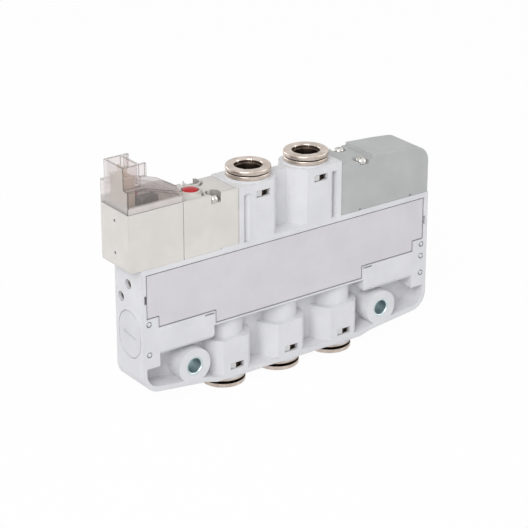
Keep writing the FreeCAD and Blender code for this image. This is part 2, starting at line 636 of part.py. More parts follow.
def valve_body():
    """The moulded body with its bosses, pockets, seats and bores."""
    shell = cut("body_shell", body_block(), [
        lower_pocket("front_pocket", f"-{HALF}"),
        lower_pocket("back_pocket", "web_thickness / 2"),
        *[block(f"{side}_well", "tower_wall - tower_half", y_low, DECK, "2 * (tower_half - tower_wall)",
                f"{HALF} - top_web_thickness / 2", f"top_height - deck_height + {MARGIN}")
          for side, y_low in (("front", f"-{HALF}"), ("back", "top_web_thickness / 2"))],
    ])
    solids = [shell]
    for port, x in LOWER_PORTS.items():
        solids.append(port_boss(f"boss_{port}", x, UNDER, "boss_height"))
        solids.append(rod(f"spigot_{port}", "spigot_radius", f"spigot_height + {MARGIN}", x, "0",
                          "ring_stand - spigot_height"))
        solids.append(rod(f"neck_{port}", "neck_radius", f"pocket_top - boss_height + {MARGIN}", x, "0",
                          "ring_stand + boss_height"))
    for port, x in UPPER_PORTS.items():
        solids.append(port_boss(f"boss_{port}", x, DECK, "top_height - deck_height"))
        solids.append(rod(f"spigot_{port}", "spigot_radius", f"spigot_height + {MARGIN}", x, "0",
                          f"{TOP} - {MARGIN}"))
    for side, x_low in (("left", "-tower_half"), ("right", "top_pitch / 2")):
        solids.append(centred_block(f"cap_plate_{side}", x_low, "ring_stand + top_height - cap_plate",
                                    "tower_half - top_pitch / 2", "cap_plate", "body_thickness"))
    solids.append(rod("bore_gallery", "gallery_radius", "2 * shoulder_inner", "-shoulder_inner", "0",
                      BORE, ALONG_X))
    for side, sign, shoulder_x, inner_end, column_x in (
            ("left", "-", f"column_width - {END}", SHOULDER_LENGTH, f"-{END}"),
            ("right", "", "shoulder_inner", "0", f"{END} - column_width")):
        solids.append(shoulder(f"shoulder_{side}", shoulder_x, inner_end))
        solids.append(centred_block(f"column_{side}", column_x, "ring_stand + column_foot", "column_width",
                                    "pocket_top - column_foot", "body_thickness"))
        solids.append(cross_rod(f"mount_boss_{side}", "mount_boss_radius", f"{sign}mount_spread",
                                "ring_stand + mount_height"))
    solids.append(centred_block("deck_ledge_block", "-tower_half - deck_ledge_length", DECK,
                                "deck_ledge_length", "deck_ledge", "body_thickness"))
    solid = fuse("body_solid", solids)

    tools = spool_passages()
    for port in PORTS:
        tools += port_passages(port)
    for side, sign in (("left", "-"), ("right", "")):
        tools.append(cross_rod(f"bush_hole_{side}", "bush_radius", f"{sign}mount_spread",
                               "ring_stand + mount_height", f"body_thickness + {MARGIN}"))
        pry_x = "-plate_half - pry_reach" if side == "left" else "plate_half"
        tools.append(block(f"pry_notch_{side}", pry_x, f"-{HALF} - {MARGIN}", f"{DECK} - pry_drop",
                           "pry_reach", f"pry_depth + {MARGIN}", "pry_width"))
    tools.append(slab("plate_recess", plate_outline("edge_clearance"),
                      f"plate_thickness + plate_sunk + {MARGIN}", f"-{HALF} - {MARGIN}"))
    tools += mould_slots()
    tools.append(oval("left_cap_seat", "cap_radius", f"cap_depth + {MARGIN}", f"-{END} - {MARGIN}"))
    tools.append(oval("right_cap_seat", "cap_radius", f"cap_depth + {MARGIN}", f"{END} - cap_depth"))
    for name, height in END_SCREWS.items():
        tools.append(rod(f"end_screw_hole_{name}", "end_screw_radius", f"end_screw_depth + {MARGIN}",
                         f"-{END} - {MARGIN}", f"end_screw_{name}_y", height, ALONG_X))
    for name, x in (("adapter", "-adapter_screw_place"), ("cover", "cover_screw_place")):
        for side, sign in (("front", "-"), ("back", "")):
            tools.append(rod(f"{name}_{side}_thread", "screw_radius",
                             f"thread_depth + deck_ledge + {MARGIN}", x, f"{sign}screw_spread",
                             f"{DECK} - thread_depth"))
    tools.append(rod("pilot_drop", "pilot_passage_radius", f"{DECK} - {BORE}", "-button_place", "0", BORE))
    tools += ring_marks()
    return keep(cut("body_finished", solid, tools), "valve_body")


def face_plate():
    """Flat plate that lies just below the front face."""
    return keep(slab("plate", plate_outline("0"), "plate_thickness", f"plate_sunk - {HALF}"), "face_plate")


def mount_bush(side, sign):
    """Steel bush of a mounting hole, as long as the body is thick."""
    outline = [
        ("bush_bore_radius + bush_chamfer", "0"), ("bush_radius", "0"), ("bush_radius", "body_thickness"),
        ("bush_bore_radius + bush_chamfer", "body_thickness"),
        ("bush_bore_radius", "body_thickness - bush_chamfer"), ("bush_bore_radius", "bush_chamfer"),
    ]
    bush = turned(f"bush_{side}", outline, f"{sign}mount_spread", f"-{HALF}", "ring_stand + mount_height",
                  ALONG_Y)
    return keep(bush, f"mount_bush_{side}")


def release_ring(port):
    """Nickel-plated ring that is pushed in to let a tube go."""
    outline = [
        ("tube_radius", "0"), ("flange_radius - ring_edge", "0"), ("flange_radius", "ring_edge"),
        ("flange_radius", "flange_thickness"), ("sleeve_radius", "flange_thickness"),
        ("sleeve_radius", "sleeve_reach - sleeve_taper"), ("tube_radius + sleeve_tip", "sleeve_reach"),
        ("tube_radius", "sleeve_reach"),
    ]
    return keep(turned(f"ring_{port}", outline, *port_mouth(port)), f"release_ring_{port}")


def fitting_collar(port):
    """Nickel-plated collar of a fitting, with its grip chamber and clip groove."""
    travel = "release_travel" if port in LOWER_PORTS else "upper_release_travel"
    top = f"flange_thickness + {travel} + release_spare"
    foot = "ring_stand - spigot_height"
    bore = "sleeve_radius + sleeve_clearance"
    clip_bed = "clip_inner_radius - cartridge_clearance"
    clip_end = "clip_depth + clip_thickness + cartridge_clearance"
    outline = [
        (bore, top), ("collar_radius - ring_edge", top), ("collar_radius", f"{top} + ring_edge"),
        ("collar_radius", foot), ("cartridge_radius", foot),
        ("cartridge_radius", "clip_depth - cartridge_clearance"),
        (clip_bed, "clip_depth - cartridge_clearance"),
        (clip_bed, clip_end), ("cartridge_radius", clip_end), ("cartridge_radius", "cartridge_reach"),
        ("grip_radius", "cartridge_reach"), ("grip_radius", "chuck_depth"),
        (bore, "chuck_depth"),
    ]
    return keep(turned(f"collar_{port}", outline, *port_mouth(port)), f"fitting_collar_{port}")


def retaining_clip(port):
    """Spring clip in the groove of the collar, open towards the window."""
    x, y, z, turn = port_mouth(port)
    z_low = "clip_depth" if port in LOWER_PORTS else f"{TOP_MOUTH} - clip_depth - clip_thickness"
    outer = rod(f"clip_{port}_outer", "clip_outer_radius", "clip_thickness", x, y, z_low)
    inner = rod(f"clip_{port}_inner", "clip_inner_radius", "clip_thickness", x, y, z_low)
    gap = block(f"clip_{port}_gap", x, f"-clip_outer_radius - {MARGIN}", z_low, "clip_gap",
                "clip_outer_radius", "clip_thickness")
    return keep(cut(f"clip_{port}", outer, [inner, gap]), f"retaining_clip_{port}")


def chuck(port):
    """Thin conical ring whose edge grips the tube."""
    outline = [
        ("chuck_bore_radius", "chuck_depth + chuck_thickness + chuck_rise"),
        ("chuck_bore_radius", "chuck_depth + chuck_rise"),
        ("grip_radius", "chuck_depth"), ("grip_radius", "chuck_depth + chuck_thickness"),
    ]
    return keep(turned(f"chuck_ring_{port}", outline, *port_mouth(port)), f"chuck_{port}")


def tube_seal(port):
    """Rubber ring that seals on the tube, behind the collar."""
    low, high = "cartridge_reach", "cartridge_reach + seal_length"
    outline = [
        ("tube_seat_radius", f"{low} + seal_bevel / 2"), ("tube_seat_radius + seal_bevel", low),
        ("seal_radius", low), ("seal_radius", high), ("tube_seat_radius + seal_bevel", high),
        ("tube_seat_radius", f"{high} - seal_bevel / 2"),
    ]
    return keep(turned(f"seal_{port}", outline, *port_mouth(port)), f"tube_seal_{port}")


def fitting(port):
    """All pieces of one tube fitting."""
    fitting_collar(port)
    release_ring(port)
    retaining_clip(port)
    chuck(port)
    tube_seal(port)


LAND_PLACES = [
    "-(low_pitch + top_pitch / 2) / 2", "-top_pitch / 4 - spool_stroke", "top_pitch / 4",
    "(low_pitch + top_pitch / 2) / 2 - spool_stroke",
]
OUTER_LANDS = ["-outer_land - spool_stroke / 2", "outer_land - spool_stroke / 2"]


def spool():
    """Sliding spool with its lands and seal grooves."""
    reach = f"{END} - cap_depth - piston_gap - piston_width"
    shaft = rod("spool_shaft", "spool_radius", f"2 * ({reach}) - spool_stroke", f"-({reach})", "0",
                BORE, ALONG_X)
    lands, grooves = [shaft], []
    for number, middle in enumerate(LAND_PLACES + OUTER_LANDS):
        lands.append(rod(f"land_{number}", "land_radius", "land_width", f"{middle} - land_width / 2", "0",
                         BORE, ALONG_X))
        groove_low = f"{middle} - seal_width / 2"
        outer = rod(f"groove_{number}_outer", f"land_radius + {MARGIN}", "seal_width", groove_low, "0",
                    BORE, ALONG_X)
        inner = rod(f"groove_{number}_inner", "groove_radius", "seal_width", groove_low, "0",
                    BORE, ALONG_X)
        grooves.append(cut(f"groove_{number}", outer, [inner]))
    return keep(cut("spool_turned", fuse("spool_solid", lands), grooves), "spool")


def ring_along_x(name, outer, inner, width, x_low):
    """A plain ring round the spool's axis."""
    outside = rod(name + "_outer", outer, width, x_low, "0", BORE, ALONG_X)
    inside = rod(name + "_inner", inner, width, x_low, "0", BORE, ALONG_X)
    return cut(name, outside, [inside])


def spool_seals():
    """Rubber rings in the grooves of the spool."""
    rings = [ring_along_x(f"spool_ring_{number}", "spool_bore_radius - seal_clearance", "groove_radius",
                          "seal_width", f"{middle} - seal_width / 2")
             for number, middle in enumerate(LAND_PLACES + OUTER_LANDS)]
    return keep(group("spool_rings", rings), "spool_seals")


def piston(name, chamber, x_low, side):
    """Piston on an end of the spool, and the ring seal in its groove."""
    radius = f"({chamber} - piston_clearance)"
    solid = rod(f"{name}_solid", radius, "piston_width", x_low, "0", BORE, ALONG_X)
    ring_low = f"{x_low} + piston_width / 2 - seal_width / 2"
    groove = ring_along_x(f"{name}_groove", f"{radius} + {MARGIN}", f"{radius} - piston_groove", "seal_width",
                          ring_low)
    keep(cut(f"{name}_turned", solid, [groove]), f"{side}_piston")
    ring = ring_along_x(f"{name}_ring", f"{chamber} - seal_clearance", f"{radius} - piston_groove",
                        "seal_width", ring_low)
    keep(ring, f"{side}_piston_seal")


def end_cap(side, x_low, groove_x, boss):
    """Oval cap that closes a piston chamber, with a fine line round its face."""
    plug = oval(f"{side}_plug", "cap_radius - cap_groove", "cap_depth", x_low)
    seat = oval(f"{side}_plug_seat", "cap_radius", "cap_depth - cap_groove", groove_x)
    return keep(fuse(f"{side}_cap", [plug, seat]), f"{boss}_end_cap")


def pan_screw(name, x, y, head_z, length, rotation=UPRIGHT):
    """Cross-slotted pan-head screw, head up along its local Z."""
    outline = [
        ("0", f"-({length})"), ("screw_radius - screw_tip", f"-({length})"),
        ("screw_radius", f"-({length}) + screw_tip"), ("screw_radius", "0"), ("screw_head_radius", "0"),
        ("screw_head_radius", "screw_head_height - screw_head_bevel"),
        ("screw_head_radius - screw_head_bevel", "screw_head_height"), ("0", "screw_head_height"),
    ]
    solid = turned(f"{name}_solid", outline, x, y, head_z, rotation)
    slots = []
    for number, (wide, long) in enumerate((("screw_slot_width", "screw_head_radius"),
                                           ("screw_head_radius", "screw_slot_width"))):
        slots.append(block(f"{name}_slot_{number}", f"{x} - ({wide}) / 2", f"{y} - ({long}) / 2",
                           f"{head_z} + screw_head_height - screw_slot_depth", wide, long,
                           f"screw_slot_depth + {MARGIN}"))
    return cut(name, solid, slots)


def end_screw(name):
    """Short screw sunk into the end face."""
    outline = [
        ("0", "0"), ("end_screw_radius", "0"), ("end_screw_radius", "screw_head_height - screw_head_bevel"),
        ("end_screw_radius - screw_head_bevel", "screw_head_height"), ("0", "screw_head_height"),
    ]
    x = f"end_screw_depth - {END}"
    y, z = f"end_screw_{name}_y", END_SCREWS[name]
    solid = turned(f"end_screw_{name}_solid", outline, x, y, z, BACK_X)
    slot_x = f"{x} - screw_head_height - {MARGIN}"
    slots = [block(f"end_screw_{name}_slot_{number}", slot_x, f"{y} - ({wide}) / 2", f"{z} - ({high}) / 2",
                   f"screw_slot_depth + {MARGIN}", wide, high)
             for number, (wide, high) in enumerate((("screw_slot_width", "end_screw_radius"),
                                                    ("end_screw_radius", "screw_slot_width")))]
    return cut(f"end_screw_{name}", solid, slots)


def screw_seats(prefix, x, floor_z):
    """Counterbores and shank holes for a pair of screws."""
    tools = []
    for side, sign in (("front", "-"), ("back", "")):
        y = f"{sign}screw_spread"
        tools.append(rod(f"{prefix}_{side}_seat", "counterbore_radius", "stack_height", x, y, floor_z))
        tools.append(rod(f"{prefix}_{side}_hole", "screw_radius", f"{floor_z} - {DECK} + 2 * {MARGIN}", x, y,
                         f"{DECK} - {MARGIN}"))
    return tools


ADAPTER_TOP = f"({STACK_TOP} - adapter_recess)"
LIP_TOP = f"({STACK_TOP} - adapter_drop)"
GASKET_LEFT = "(gasket_inset - adapter_left)"
GASKET_LENGTH = "(adapter_left - gasket_inset - tower_half - gasket_gap)"
BUTTON_TOP = f"({STACK_TOP} - button_below)"
BUTTON_FLOOR = f"({BUTTON_TOP} - button_length - button_spring_length)"


def adapter_block(name, y_low, z_low, width, height, spare="0"):
    """A block as long as the adapter, or longer by a margin at both ends."""
    length = "adapter_left - tower_half - edge_clearance"
    return block(name, f"-adapter_left - {spare}", y_low, z_low, f"{length} + 2 * {spare}", width, height)


def adapter_bosses():
    """Rims round the two screws, cut flat by the adapter's faces."""
    height = "adapter_recess - adapter_drop + counterbore_depth"
    rims = [rod(f"adapter_{side}_rim", "screw_boss_radius", height, "-adapter_screw_place",
                f"{sign}screw_spread", f"{ADAPTER_TOP} - counterbore_depth")
            for side, sign in (("front", "-"), ("back", ""))]
    around = adapter_block("adapter_around", f"-{HALF}", DECK, "body_thickness", "stack_height")
    return common("adapter_rims_cut", around, fuse("adapter_rims", rims))


def pilot_adapter():
    """Beige block between coil and tower that carries the override button."""
    back_of_lip = f"adapter_lip - {HALF}"
    solid = adapter_block("adapter_body", f"-{HALF}", DECK, "body_thickness", "stack_height - adapter_drop")
    channel_floor = f"{ADAPTER_TOP} - channel_depth"
    channels = [rod(f"adapter_{side}_ring", "screw_boss_radius + channel_reach", f"channel_depth + {MARGIN}",
                    "-adapter_screw_place", f"{sign}screw_spread", channel_floor)
                for side, sign in (("front", "-"), ("back", ""))]
    behind = adapter_block("adapter_behind", back_of_lip, channel_floor, "body_thickness",
                           f"channel_depth + {MARGIN}", MARGIN)
    lipped = cut("adapter_lipped", solid, [
        adapter_block("adapter_top_cut", back_of_lip, ADAPTER_TOP, "body_thickness",
                      f"adapter_recess + {MARGIN}", MARGIN),
        adapter_block("adapter_channel", back_of_lip, channel_floor, "channel_width",
                      f"channel_depth + {MARGIN}", MARGIN),
        common("adapter_rings", behind, fuse("adapter_ring_pair", channels)),
    ])
    collar = rod("adapter_collar", "button_radius + button_collar", "button_collar_height",
                 "-button_place", "0", ADAPTER_TOP)
    shaped = fuse("adapter_shaped", [lipped, collar, adapter_bosses()])
    tools = [
        rod("button_bore", "button_radius + button_clearance",
            f"button_length + button_spring_length + {MARGIN}", "-button_place", "0", BUTTON_FLOOR),
        rod("button_step", "button_radius + button_clearance + button_relief",
            f"button_relief_depth + {MARGIN}", "-button_place", "0",
            f"{ADAPTER_TOP} + button_collar_height - button_relief_depth"),
        rod("button_drop", "pilot_passage_radius", f"{BUTTON_FLOOR} - {DECK} + {MARGIN}",
            "-button_place", "0", f"{DECK} - {MARGIN}"),
        centred_block("adapter_ledge_relief", "-tower_half - deck_ledge_length - edge_clearance",
                      f"{DECK} - {MARGIN}", f"deck_ledge_length + {MARGIN}", f"deck_ledge + {MARGIN}",
                      f"body_thickness + {MARGIN}"),
        centred_block("gasket_recess", GASKET_LEFT, f"{DECK} - {MARGIN}", GASKET_LENGTH,
                      f"gasket_thickness + {MARGIN}", "gasket_width"),
        *screw_seats("adapter", "-adapter_screw_place", f"{ADAPTER_TOP} - counterbore_depth"),
    ]
    return keep(cut("adapter_finished", shaped, tools), "pilot_adapter")


def adapter_gasket():
    """Rubber gasket between adapter and deck, with the pilot air hole."""
    sheet_part = centred_block("gasket_sheet", GASKET_LEFT, DECK, GASKET_LENGTH, "gasket_thickness",
                               "gasket_width")
    holes = [rod("gasket_hole", "pilot_passage_radius", "gasket_thickness", "-button_place", "0", DECK)]
    for side, sign in (("front", "-"), ("back", "")):
        holes.append(rod(f"gasket_{side}_notch", "counterbore_radius", "gasket_thickness",
                         "-adapter_screw_place", f"{sign}screw_spread", DECK))
    ledge = "tower_half + deck_ledge_length + edge_clearance"
    holes.append(centred_block("gasket_relief", f"-({ledge})", DECK, f"{ledge}", "deck_ledge",
                               "gasket_width"))
    return keep(cut("gasket", sheet_part, holes), "adapter_gasket")


def override_button():
    """Red push button, and the ring seal in its groove."""
    neck = "button_radius - button_groove_depth"
    outline = [
        ("0", "0"), ("button_radius", "0"), ("button_radius", "button_groove"), (neck, "button_groove"),
        (neck, "button_groove + seal_width"), ("button_radius", "button_groove + seal_width"),
        ("button_radius", "button_length - button_edge"), ("button_radius - button_edge", "button_length"),
        ("0", "button_length"),
    ]
    low = f"{BUTTON_TOP} - button_length"
    keep(turned("button", outline, "-button_place", "0", low), "override_button")
    ring = [
        (neck, "0"), ("button_radius + button_clearance - seal_clearance", "0"),
        ("button_radius + button_clearance - seal_clearance", "seal_width"), (neck, "seal_width"),
    ]
    keep(turned("button_ring", ring, "-button_place", "0", f"{low} + button_groove"), "override_oring")


def coil_spring(label, radius, wire, length, x, z_low):
    """A compression spring: its wire follows a helix in short straight runs."""
    turns, steps, facets, mitred = 4, 10, 6, 1
    r, thick, high = size_of(radius), size_of(wire), size_of(length)
    count = turns * steps
    rise = (high - thick) / count
    points = [FreeCAD.Vector(r * math.cos(2 * math.pi * n / steps), r * math.sin(2 * math.pi * n / steps),
                             thick / 2 + n * rise) for n in range(count + 1)]
    path = Part.makePolygon(points)
    along = points[1] - points[0]
    section = Part.Wire(Part.makeCircle(thick / 2, points[0], along))
    facet = Part.makePolygon([section.Edges[0].valueAt(2 * math.pi * n / facets) for n in range(facets + 1)])
    item = doc.addObject("Part::Feature", label)
    item.Shape = Part.Wire(path.Edges).makePipeShell([facet], True, False, mitred)
    place(item, x, "0", z_low)
    return keep(item, label)


COIL_X = "-(coil_left + adapter_left) / 2"
COIL_LENGTH = "(coil_left - adapter_left - stack_clearance)"
COIL_FLOOR = f"({DECK} + coil_floor)"
YOKE_LOW = f"({COIL_FLOOR} + stack_clearance)"
BOBBIN_LOW = f"({YOKE_LOW} + yoke_thickness)"
YOKE_TOP = f"({BOBBIN_LOW} + bobbin_length)"
SEAT_TOP = f"({COIL_FLOOR} + seat_height)"
ARMATURE_TOP = f"({SEAT_TOP} + armature_length)"
CORE_LOW = f"({ARMATURE_TOP} + armature_travel + armature_spare)"
SPRING_SEAT = f"({ARMATURE_TOP} - armature_bore_depth)"


def coil_housing():
    """Open-topped beige housing of the coil, which overhangs the body's end."""
    far, near_side = "-coil_left", "-adapter_left - stack_clearance"
    outline = [(far, DECK), (near_side, DECK), (near_side, STACK_TOP), (far, STACK_TOP)]
    shell = slab("coil_block", outline, "body_thickness", f"-{HALF}")
    deck, end = size_of(DECK), size_of(far)
    round_edges(shell, "coil_edge_radius", lambda at, box: near(at.z, deck) and near(at.x, end))
    tools = [
        centred_block("coil_cavity", "coil_wall - coil_left", COIL_FLOOR, f"{COIL_LENGTH} - 2 * coil_wall",
                      "stack_height", "body_thickness - 2 * coil_wall"),
    ]
    for row in ("low", "high"):
        tools.append(rod(f"pin_mark_{row}", "pin_mark_radius", f"pin_mark_depth + {MARGIN}",
                         f"-coil_left - {MARGIN}", "0", f"{DECK} + pin_mark_{row}", ALONG_X))
    return keep(cut("coil_shell", shell, tools), "coil_housing")


def coil_parts():
    """Bobbin, winding, yoke, core, seat, armature and spring of the pilot coil."""
    low, high = "bobbin_flange", "bobbin_length - bobbin_flange"
    outline = [
        ("bobbin_bore_radius", "0"), ("bobbin_radius", "0"), ("bobbin_radius", low),
        ("bobbin_tube_radius", low),
        ("bobbin_tube_radius", high), ("bobbin_radius", high), ("bobbin_radius", "bobbin_length"),
        ("bobbin_bore_radius", "bobbin_length"),
    ]
    keep(turned("bobbin", outline, COIL_X, "0", BOBBIN_LOW), "coil_bobbin")
    outline = [
        ("bobbin_tube_radius", low), ("bobbin_radius - winding_inset", low),
        ("bobbin_radius - winding_inset", high), ("bobbin_tube_radius", high),
    ]
    keep(turned("winding", outline, COIL_X, "0", BOBBIN_LOW), "coil_winding")

    yoke_left = f"{COIL_X} - bobbin_radius - yoke_gap - yoke_thickness"
    yoke_length = "2 * bobbin_radius + yoke_gap + yoke_thickness"
    frame = [
        centred_block("yoke_floor", yoke_left, YOKE_LOW, yoke_length, "yoke_thickness", "yoke_width"),
        centred_block("yoke_top", yoke_left, YOKE_TOP, yoke_length, "yoke_thickness", "yoke_width"),
        centred_block("yoke_back", yoke_left, YOKE_LOW, "yoke_thickness",
                      "bobbin_length + 2 * yoke_thickness", "yoke_width"),
    ]
    holes = [
        rod("yoke_floor_hole", "bobbin_bore_radius", f"yoke_thickness + {MARGIN}", COIL_X, "0",
            f"{YOKE_LOW} - {MARGIN} / 2"),
        rod("yoke_top_hole", "armature_radius", f"yoke_thickness + {MARGIN}", COIL_X, "0",
            f"{YOKE_TOP} - {MARGIN} / 2"),
    ]
    keep(cut("yoke", fuse("yoke_frame", frame), holes), "magnet_yoke")
    keep(rod("core", "armature_radius", f"{YOKE_TOP} + yoke_thickness - {CORE_LOW}", COIL_X, "0", CORE_LOW),
         "fixed_core")
    seat = [
        ("pilot_passage_radius / 2", "0"), ("armature_radius", "0"), ("armature_radius", "seat_height / 2"),
        ("pilot_passage_radius", "seat_height"), ("pilot_passage_radius / 2", "seat_height"),
    ]
    keep(turned("seat", seat, COIL_X, "0", COIL_FLOOR), "valve_seat")
    outline = [
        ("0", "0"), ("armature_radius - armature_edge", "0"), ("armature_radius", "armature_edge"),
        ("armature_radius", "armature_length"), ("armature_bore_radius", "armature_length"),
        ("armature_bore_radius", "armature_length - armature_bore_depth"),
        ("0", "armature_length - armature_bore_depth"),
    ]
    keep(turned("plunger", outline, COIL_X, "0", SEAT_TOP), "armature")
    coil_spring("armature_spring", "armature_spring_radius", "armature_wire", f"{CORE_LOW} - {SPRING_SEAT}",
                COIL_X, SPRING_SEAT)


SOCKET_TOP = f"({STACK_TOP} + cover_height + socket_height)"
BOARD_TOP = f"({STACK_TOP} + board_thickness)"


def cover_outline(inset, z_low):
    """Side outline of the cover's lower part, or of the hollow in it."""
    far, near_side = f"{inset} - coil_left", f"-adapter_left - stack_clearance - {inset}"
    knee = "socket_length - coil_left"
    return [
        (far, z_low), (far, f"{STACK_TOP} + cover_height - {inset}"),
        (knee, f"{STACK_TOP} + cover_height - {inset}"), (near_side, f"{STACK_TOP} + cover_low - {inset}"),
        (near_side, z_low),
    ]


def connector_cover():
    """See-through cover with the open connector socket and its latch lugs."""
    lower = slab("cover_lower", cover_outline("0", STACK_TOP), "body_thickness", f"-{HALF}")
    tongue_low = f"{ADAPTER_TOP} + stack_clearance"
    tongue_root = "-adapter_left - stack_clearance - cover_wall / 2"
    tongue_outline = [
        (tongue_root, STACK_TOP), (tongue_root, f"{STACK_TOP} + cover_low"),
        ("-adapter_left - stack_clearance", f"{STACK_TOP} + cover_low"),
        ("tongue_reach - adapter_left", f"{tongue_low} + tongue_thickness"),
        ("tongue_reach - adapter_left", tongue_low), ("-adapter_left", tongue_low),
        ("-adapter_left", STACK_TOP),
    ]
    tongue = slab("cover_tongue", tongue_outline, f"{HALF} - tongue_front", "tongue_front")
    socket = centred_block("socket_block", "-coil_left", f"{STACK_TOP} + cover_height - {MARGIN}",
                           "socket_length", f"socket_height + {MARGIN}", "socket_width")
    lugs = [block(f"lug_{side}", f"socket_length - coil_left - {MARGIN}", y, f"{SOCKET_TOP} - lug_height",
                  f"lug_reach + {MARGIN}", "lug_width", "lug_height")
            for side, y in (("front", "-socket_width / 2"), ("back", "socket_width / 2 - lug_width"))]
    solid = fuse("cover_solid", [lower, tongue, socket, *lugs])
    hollow = slab("cover_hollow", cover_outline("cover_wall", f"{STACK_TOP} - {MARGIN}"),
                  "body_thickness - 2 * cover_wall", f"cover_wall - {HALF}")
    well = centred_block("socket_well", "socket_wall - coil_left",
                         f"{STACK_TOP} + cover_height - cover_wall - {MARGIN}",
                         "socket_length - 2 * socket_wall",
                         f"socket_height + cover_wall + 2 * {MARGIN}", "socket_width - 2 * socket_wall")
    return keep(cut("cover_finished", solid, [hollow, well]), "connector_cover")


def electrics():
    """Board on the coil housing's rim, with header, pins, lamp and suppressor."""
    board_left = "cover_wall + edge_clearance - coil_left"
    board_right = "(adapter_left + stack_clearance + cover_wall + edge_clearance)"
    board_length = f"coil_left - cover_wall - edge_clearance - {board_right}"
    keep(centred_block("board", board_left, STACK_TOP, board_length, "board_thickness",
                       "body_thickness - 2 * cover_wall - 2 * edge_clearance"), "circuit_board")
    header_left = "socket_length / 2 - header_length / 2 - coil_left"
    header = centred_block("header_solid", header_left, BOARD_TOP, "header_length", "header_height",
                           "header_width")
    pin_x = "socket_length / 2 - coil_left - pin_size / 2"
    offsets = ["-pin_pitch", "0", "pin_pitch"]
    beds, pins = [], []
    for number, offset in enumerate(offsets):
        y = f"{offset} - pin_size / 2"
        beds.append(block(f"pin_bed_{number}", pin_x, y, BOARD_TOP, "pin_size", "pin_size",
                          f"header_height + {MARGIN}"))
        pins.append(block(f"pin_{number}", pin_x, y, BOARD_TOP, "pin_size", "pin_size",
                          "header_height + pin_reach"))
    keep(cut("header", header, beds), "pin_header")
    keep(group("pins", pins), "contact_pins")
    lamp = [("0", "0"), ("lamp_radius", "0"), ("lamp_radius", "lamp_height - lamp_radius"),
            ("lamp_shoulder_radius", "lamp_height - lamp_crown"), ("0", "lamp_height")]
    keep(turned("lamp", lamp, "socket_length + lamp_gap - coil_left", "lamp_place", BOARD_TOP),
         "indicator_led")
    keep(block("suppressor", "socket_length - suppressor_start - coil_left",
               f"-{HALF} + cover_wall + suppressor_gap", BOARD_TOP, "suppressor_length",
               "suppressor_width", "suppressor_height"), "surge_suppressor")


COVER_SEAT = "(ring_stand + ledge_top - cover_seat_depth)"


def end_cover():
    """Greenish-grey end cover with its screw ledge and rounded outer corner."""
    left = "(tower_half + edge_clearance)"
    right = f"({END} - cover_inset)"
    ledge_end = f"({left} + ledge_length)"
    corner = "(ring_stand + cover_top)"
    outline = [
        (left, DECK), (left, "ring_stand + ledge_top"), (ledge_end, "ring_stand + ledge_top"),
        (ledge_end, "ring_stand + cover_crown"),
        (f"({ledge_end} + {right}) / 2", f"({corner} + ring_stand + cover_crown) / 2 + crown_rise"),
        (right, corner), (right, DECK),
    ]
    body = slab("end_cover_block", outline, "body_thickness", f"-{HALF}")
    top = size_of(corner)
    round_edges(body, "cover_radius", lambda at, box: near(at.z, top) and near(box.XLength, 0))
    tools = screw_seats("cover", "cover_screw_place", COVER_SEAT)
    for side, sign in (("front", "-"), ("back", "")):
        tools.append(rod(f"cover_{side}_step", "screw_boss_radius", f"cover_seat_step + {MARGIN}",
                         "cover_screw_place", f"{sign}screw_spread",
                         "ring_stand + ledge_top - cover_seat_step"))
    for name, x in (("inner", f"{left} + notch_inner"), ("outer", f"{right} - notch_outer")):
        tools.append(centred_block(f"notch_{name}", x, f"{DECK} - {MARGIN}", "cover_notch",
                                   f"cover_notch + {MARGIN}", f"body_thickness + {MARGIN}"))
    return keep(cut("end_cover_finished", body, tools), "end_cover")


def screw_pair(name, x, floor_z, label):
    """The two screws of a housing, in one node."""
    length = f"({floor_z} - {DECK} + thread_depth)"
    screws = [pan_screw(f"{name}_{side}_screw", x, f"{sign}screw_spread", floor_z, length)
              for side, sign in (("front", "-"), ("back", ""))]
    return keep(group(f"{name}_screws_group", screws), label)


def build():
    """Build every sub-part in the shared frame."""
    valve_body()
    face_plate()
    for side, sign in (("left", "-"), ("right", "")):
        mount_bush(side, sign)
    for port in PORTS:
        fitting(port)
    spool()
    spool_seals()
    reach = f"({END} - cap_depth - piston_gap)"
    piston("pilot_piston_part", "pilot_chamber_radius", f"-{reach}", "pilot")
    piston("return_piston_part", "return_chamber_radius", f"{reach} - piston_width - spool_stroke", "return")
    end_cap("left", f"-{END}", f"cap_groove - {END}", "pilot")
    end_cap("right", f"{END} - cap_depth", f"{END} - cap_depth", "return")
    keep(group("end_screws_group", [end_screw("one"), end_screw("two")]), "end_screws")
    pilot_adapter()
    adapter_gasket()
    override_button()
    coil_spring("override_spring", "button_spring_radius", "button_wire", "button_spring_length",
                "-button_place", BUTTON_FLOOR)
    screw_pair("adapter", "-adapter_screw_place", f"{ADAPTER_TOP} - counterbore_depth", "adapter_screws")
    coil_housing()
    coil_parts()
    connector_cover()
    electrics()
    end_cover()
    screw_pair("cover", "cover_screw_place", COVER_SEAT, "cover_screws")


def check_document():
    """Stop if any object failed or any sub-part is not a sound solid."""
    doc.recompute()
    failed = [item.Name for item in doc.Objects if {"Invalid", "Error"} & set(item.State)]
    if failed:
        raise RuntimeError("failed objects: " + ", ".join(failed))
    for item in PARTS:
        if item.Shape.isNull() or not item.Shape.isValid() or not item.Shape.Solids:
            raise RuntimeError("unsound sub-part: " + item.Label)


def write_parts():
    """Write each sub-part under its label."""
    os.makedirs("parts", exist_ok=True)
    for item in PARTS:
        item.Shape.exportStep(os.path.join("parts", item.Label + ".step"))
        print(item.Label, len(item.Shape.Solids), round(item.Shape.Volume, 2))


build()
check_document()
write_parts()
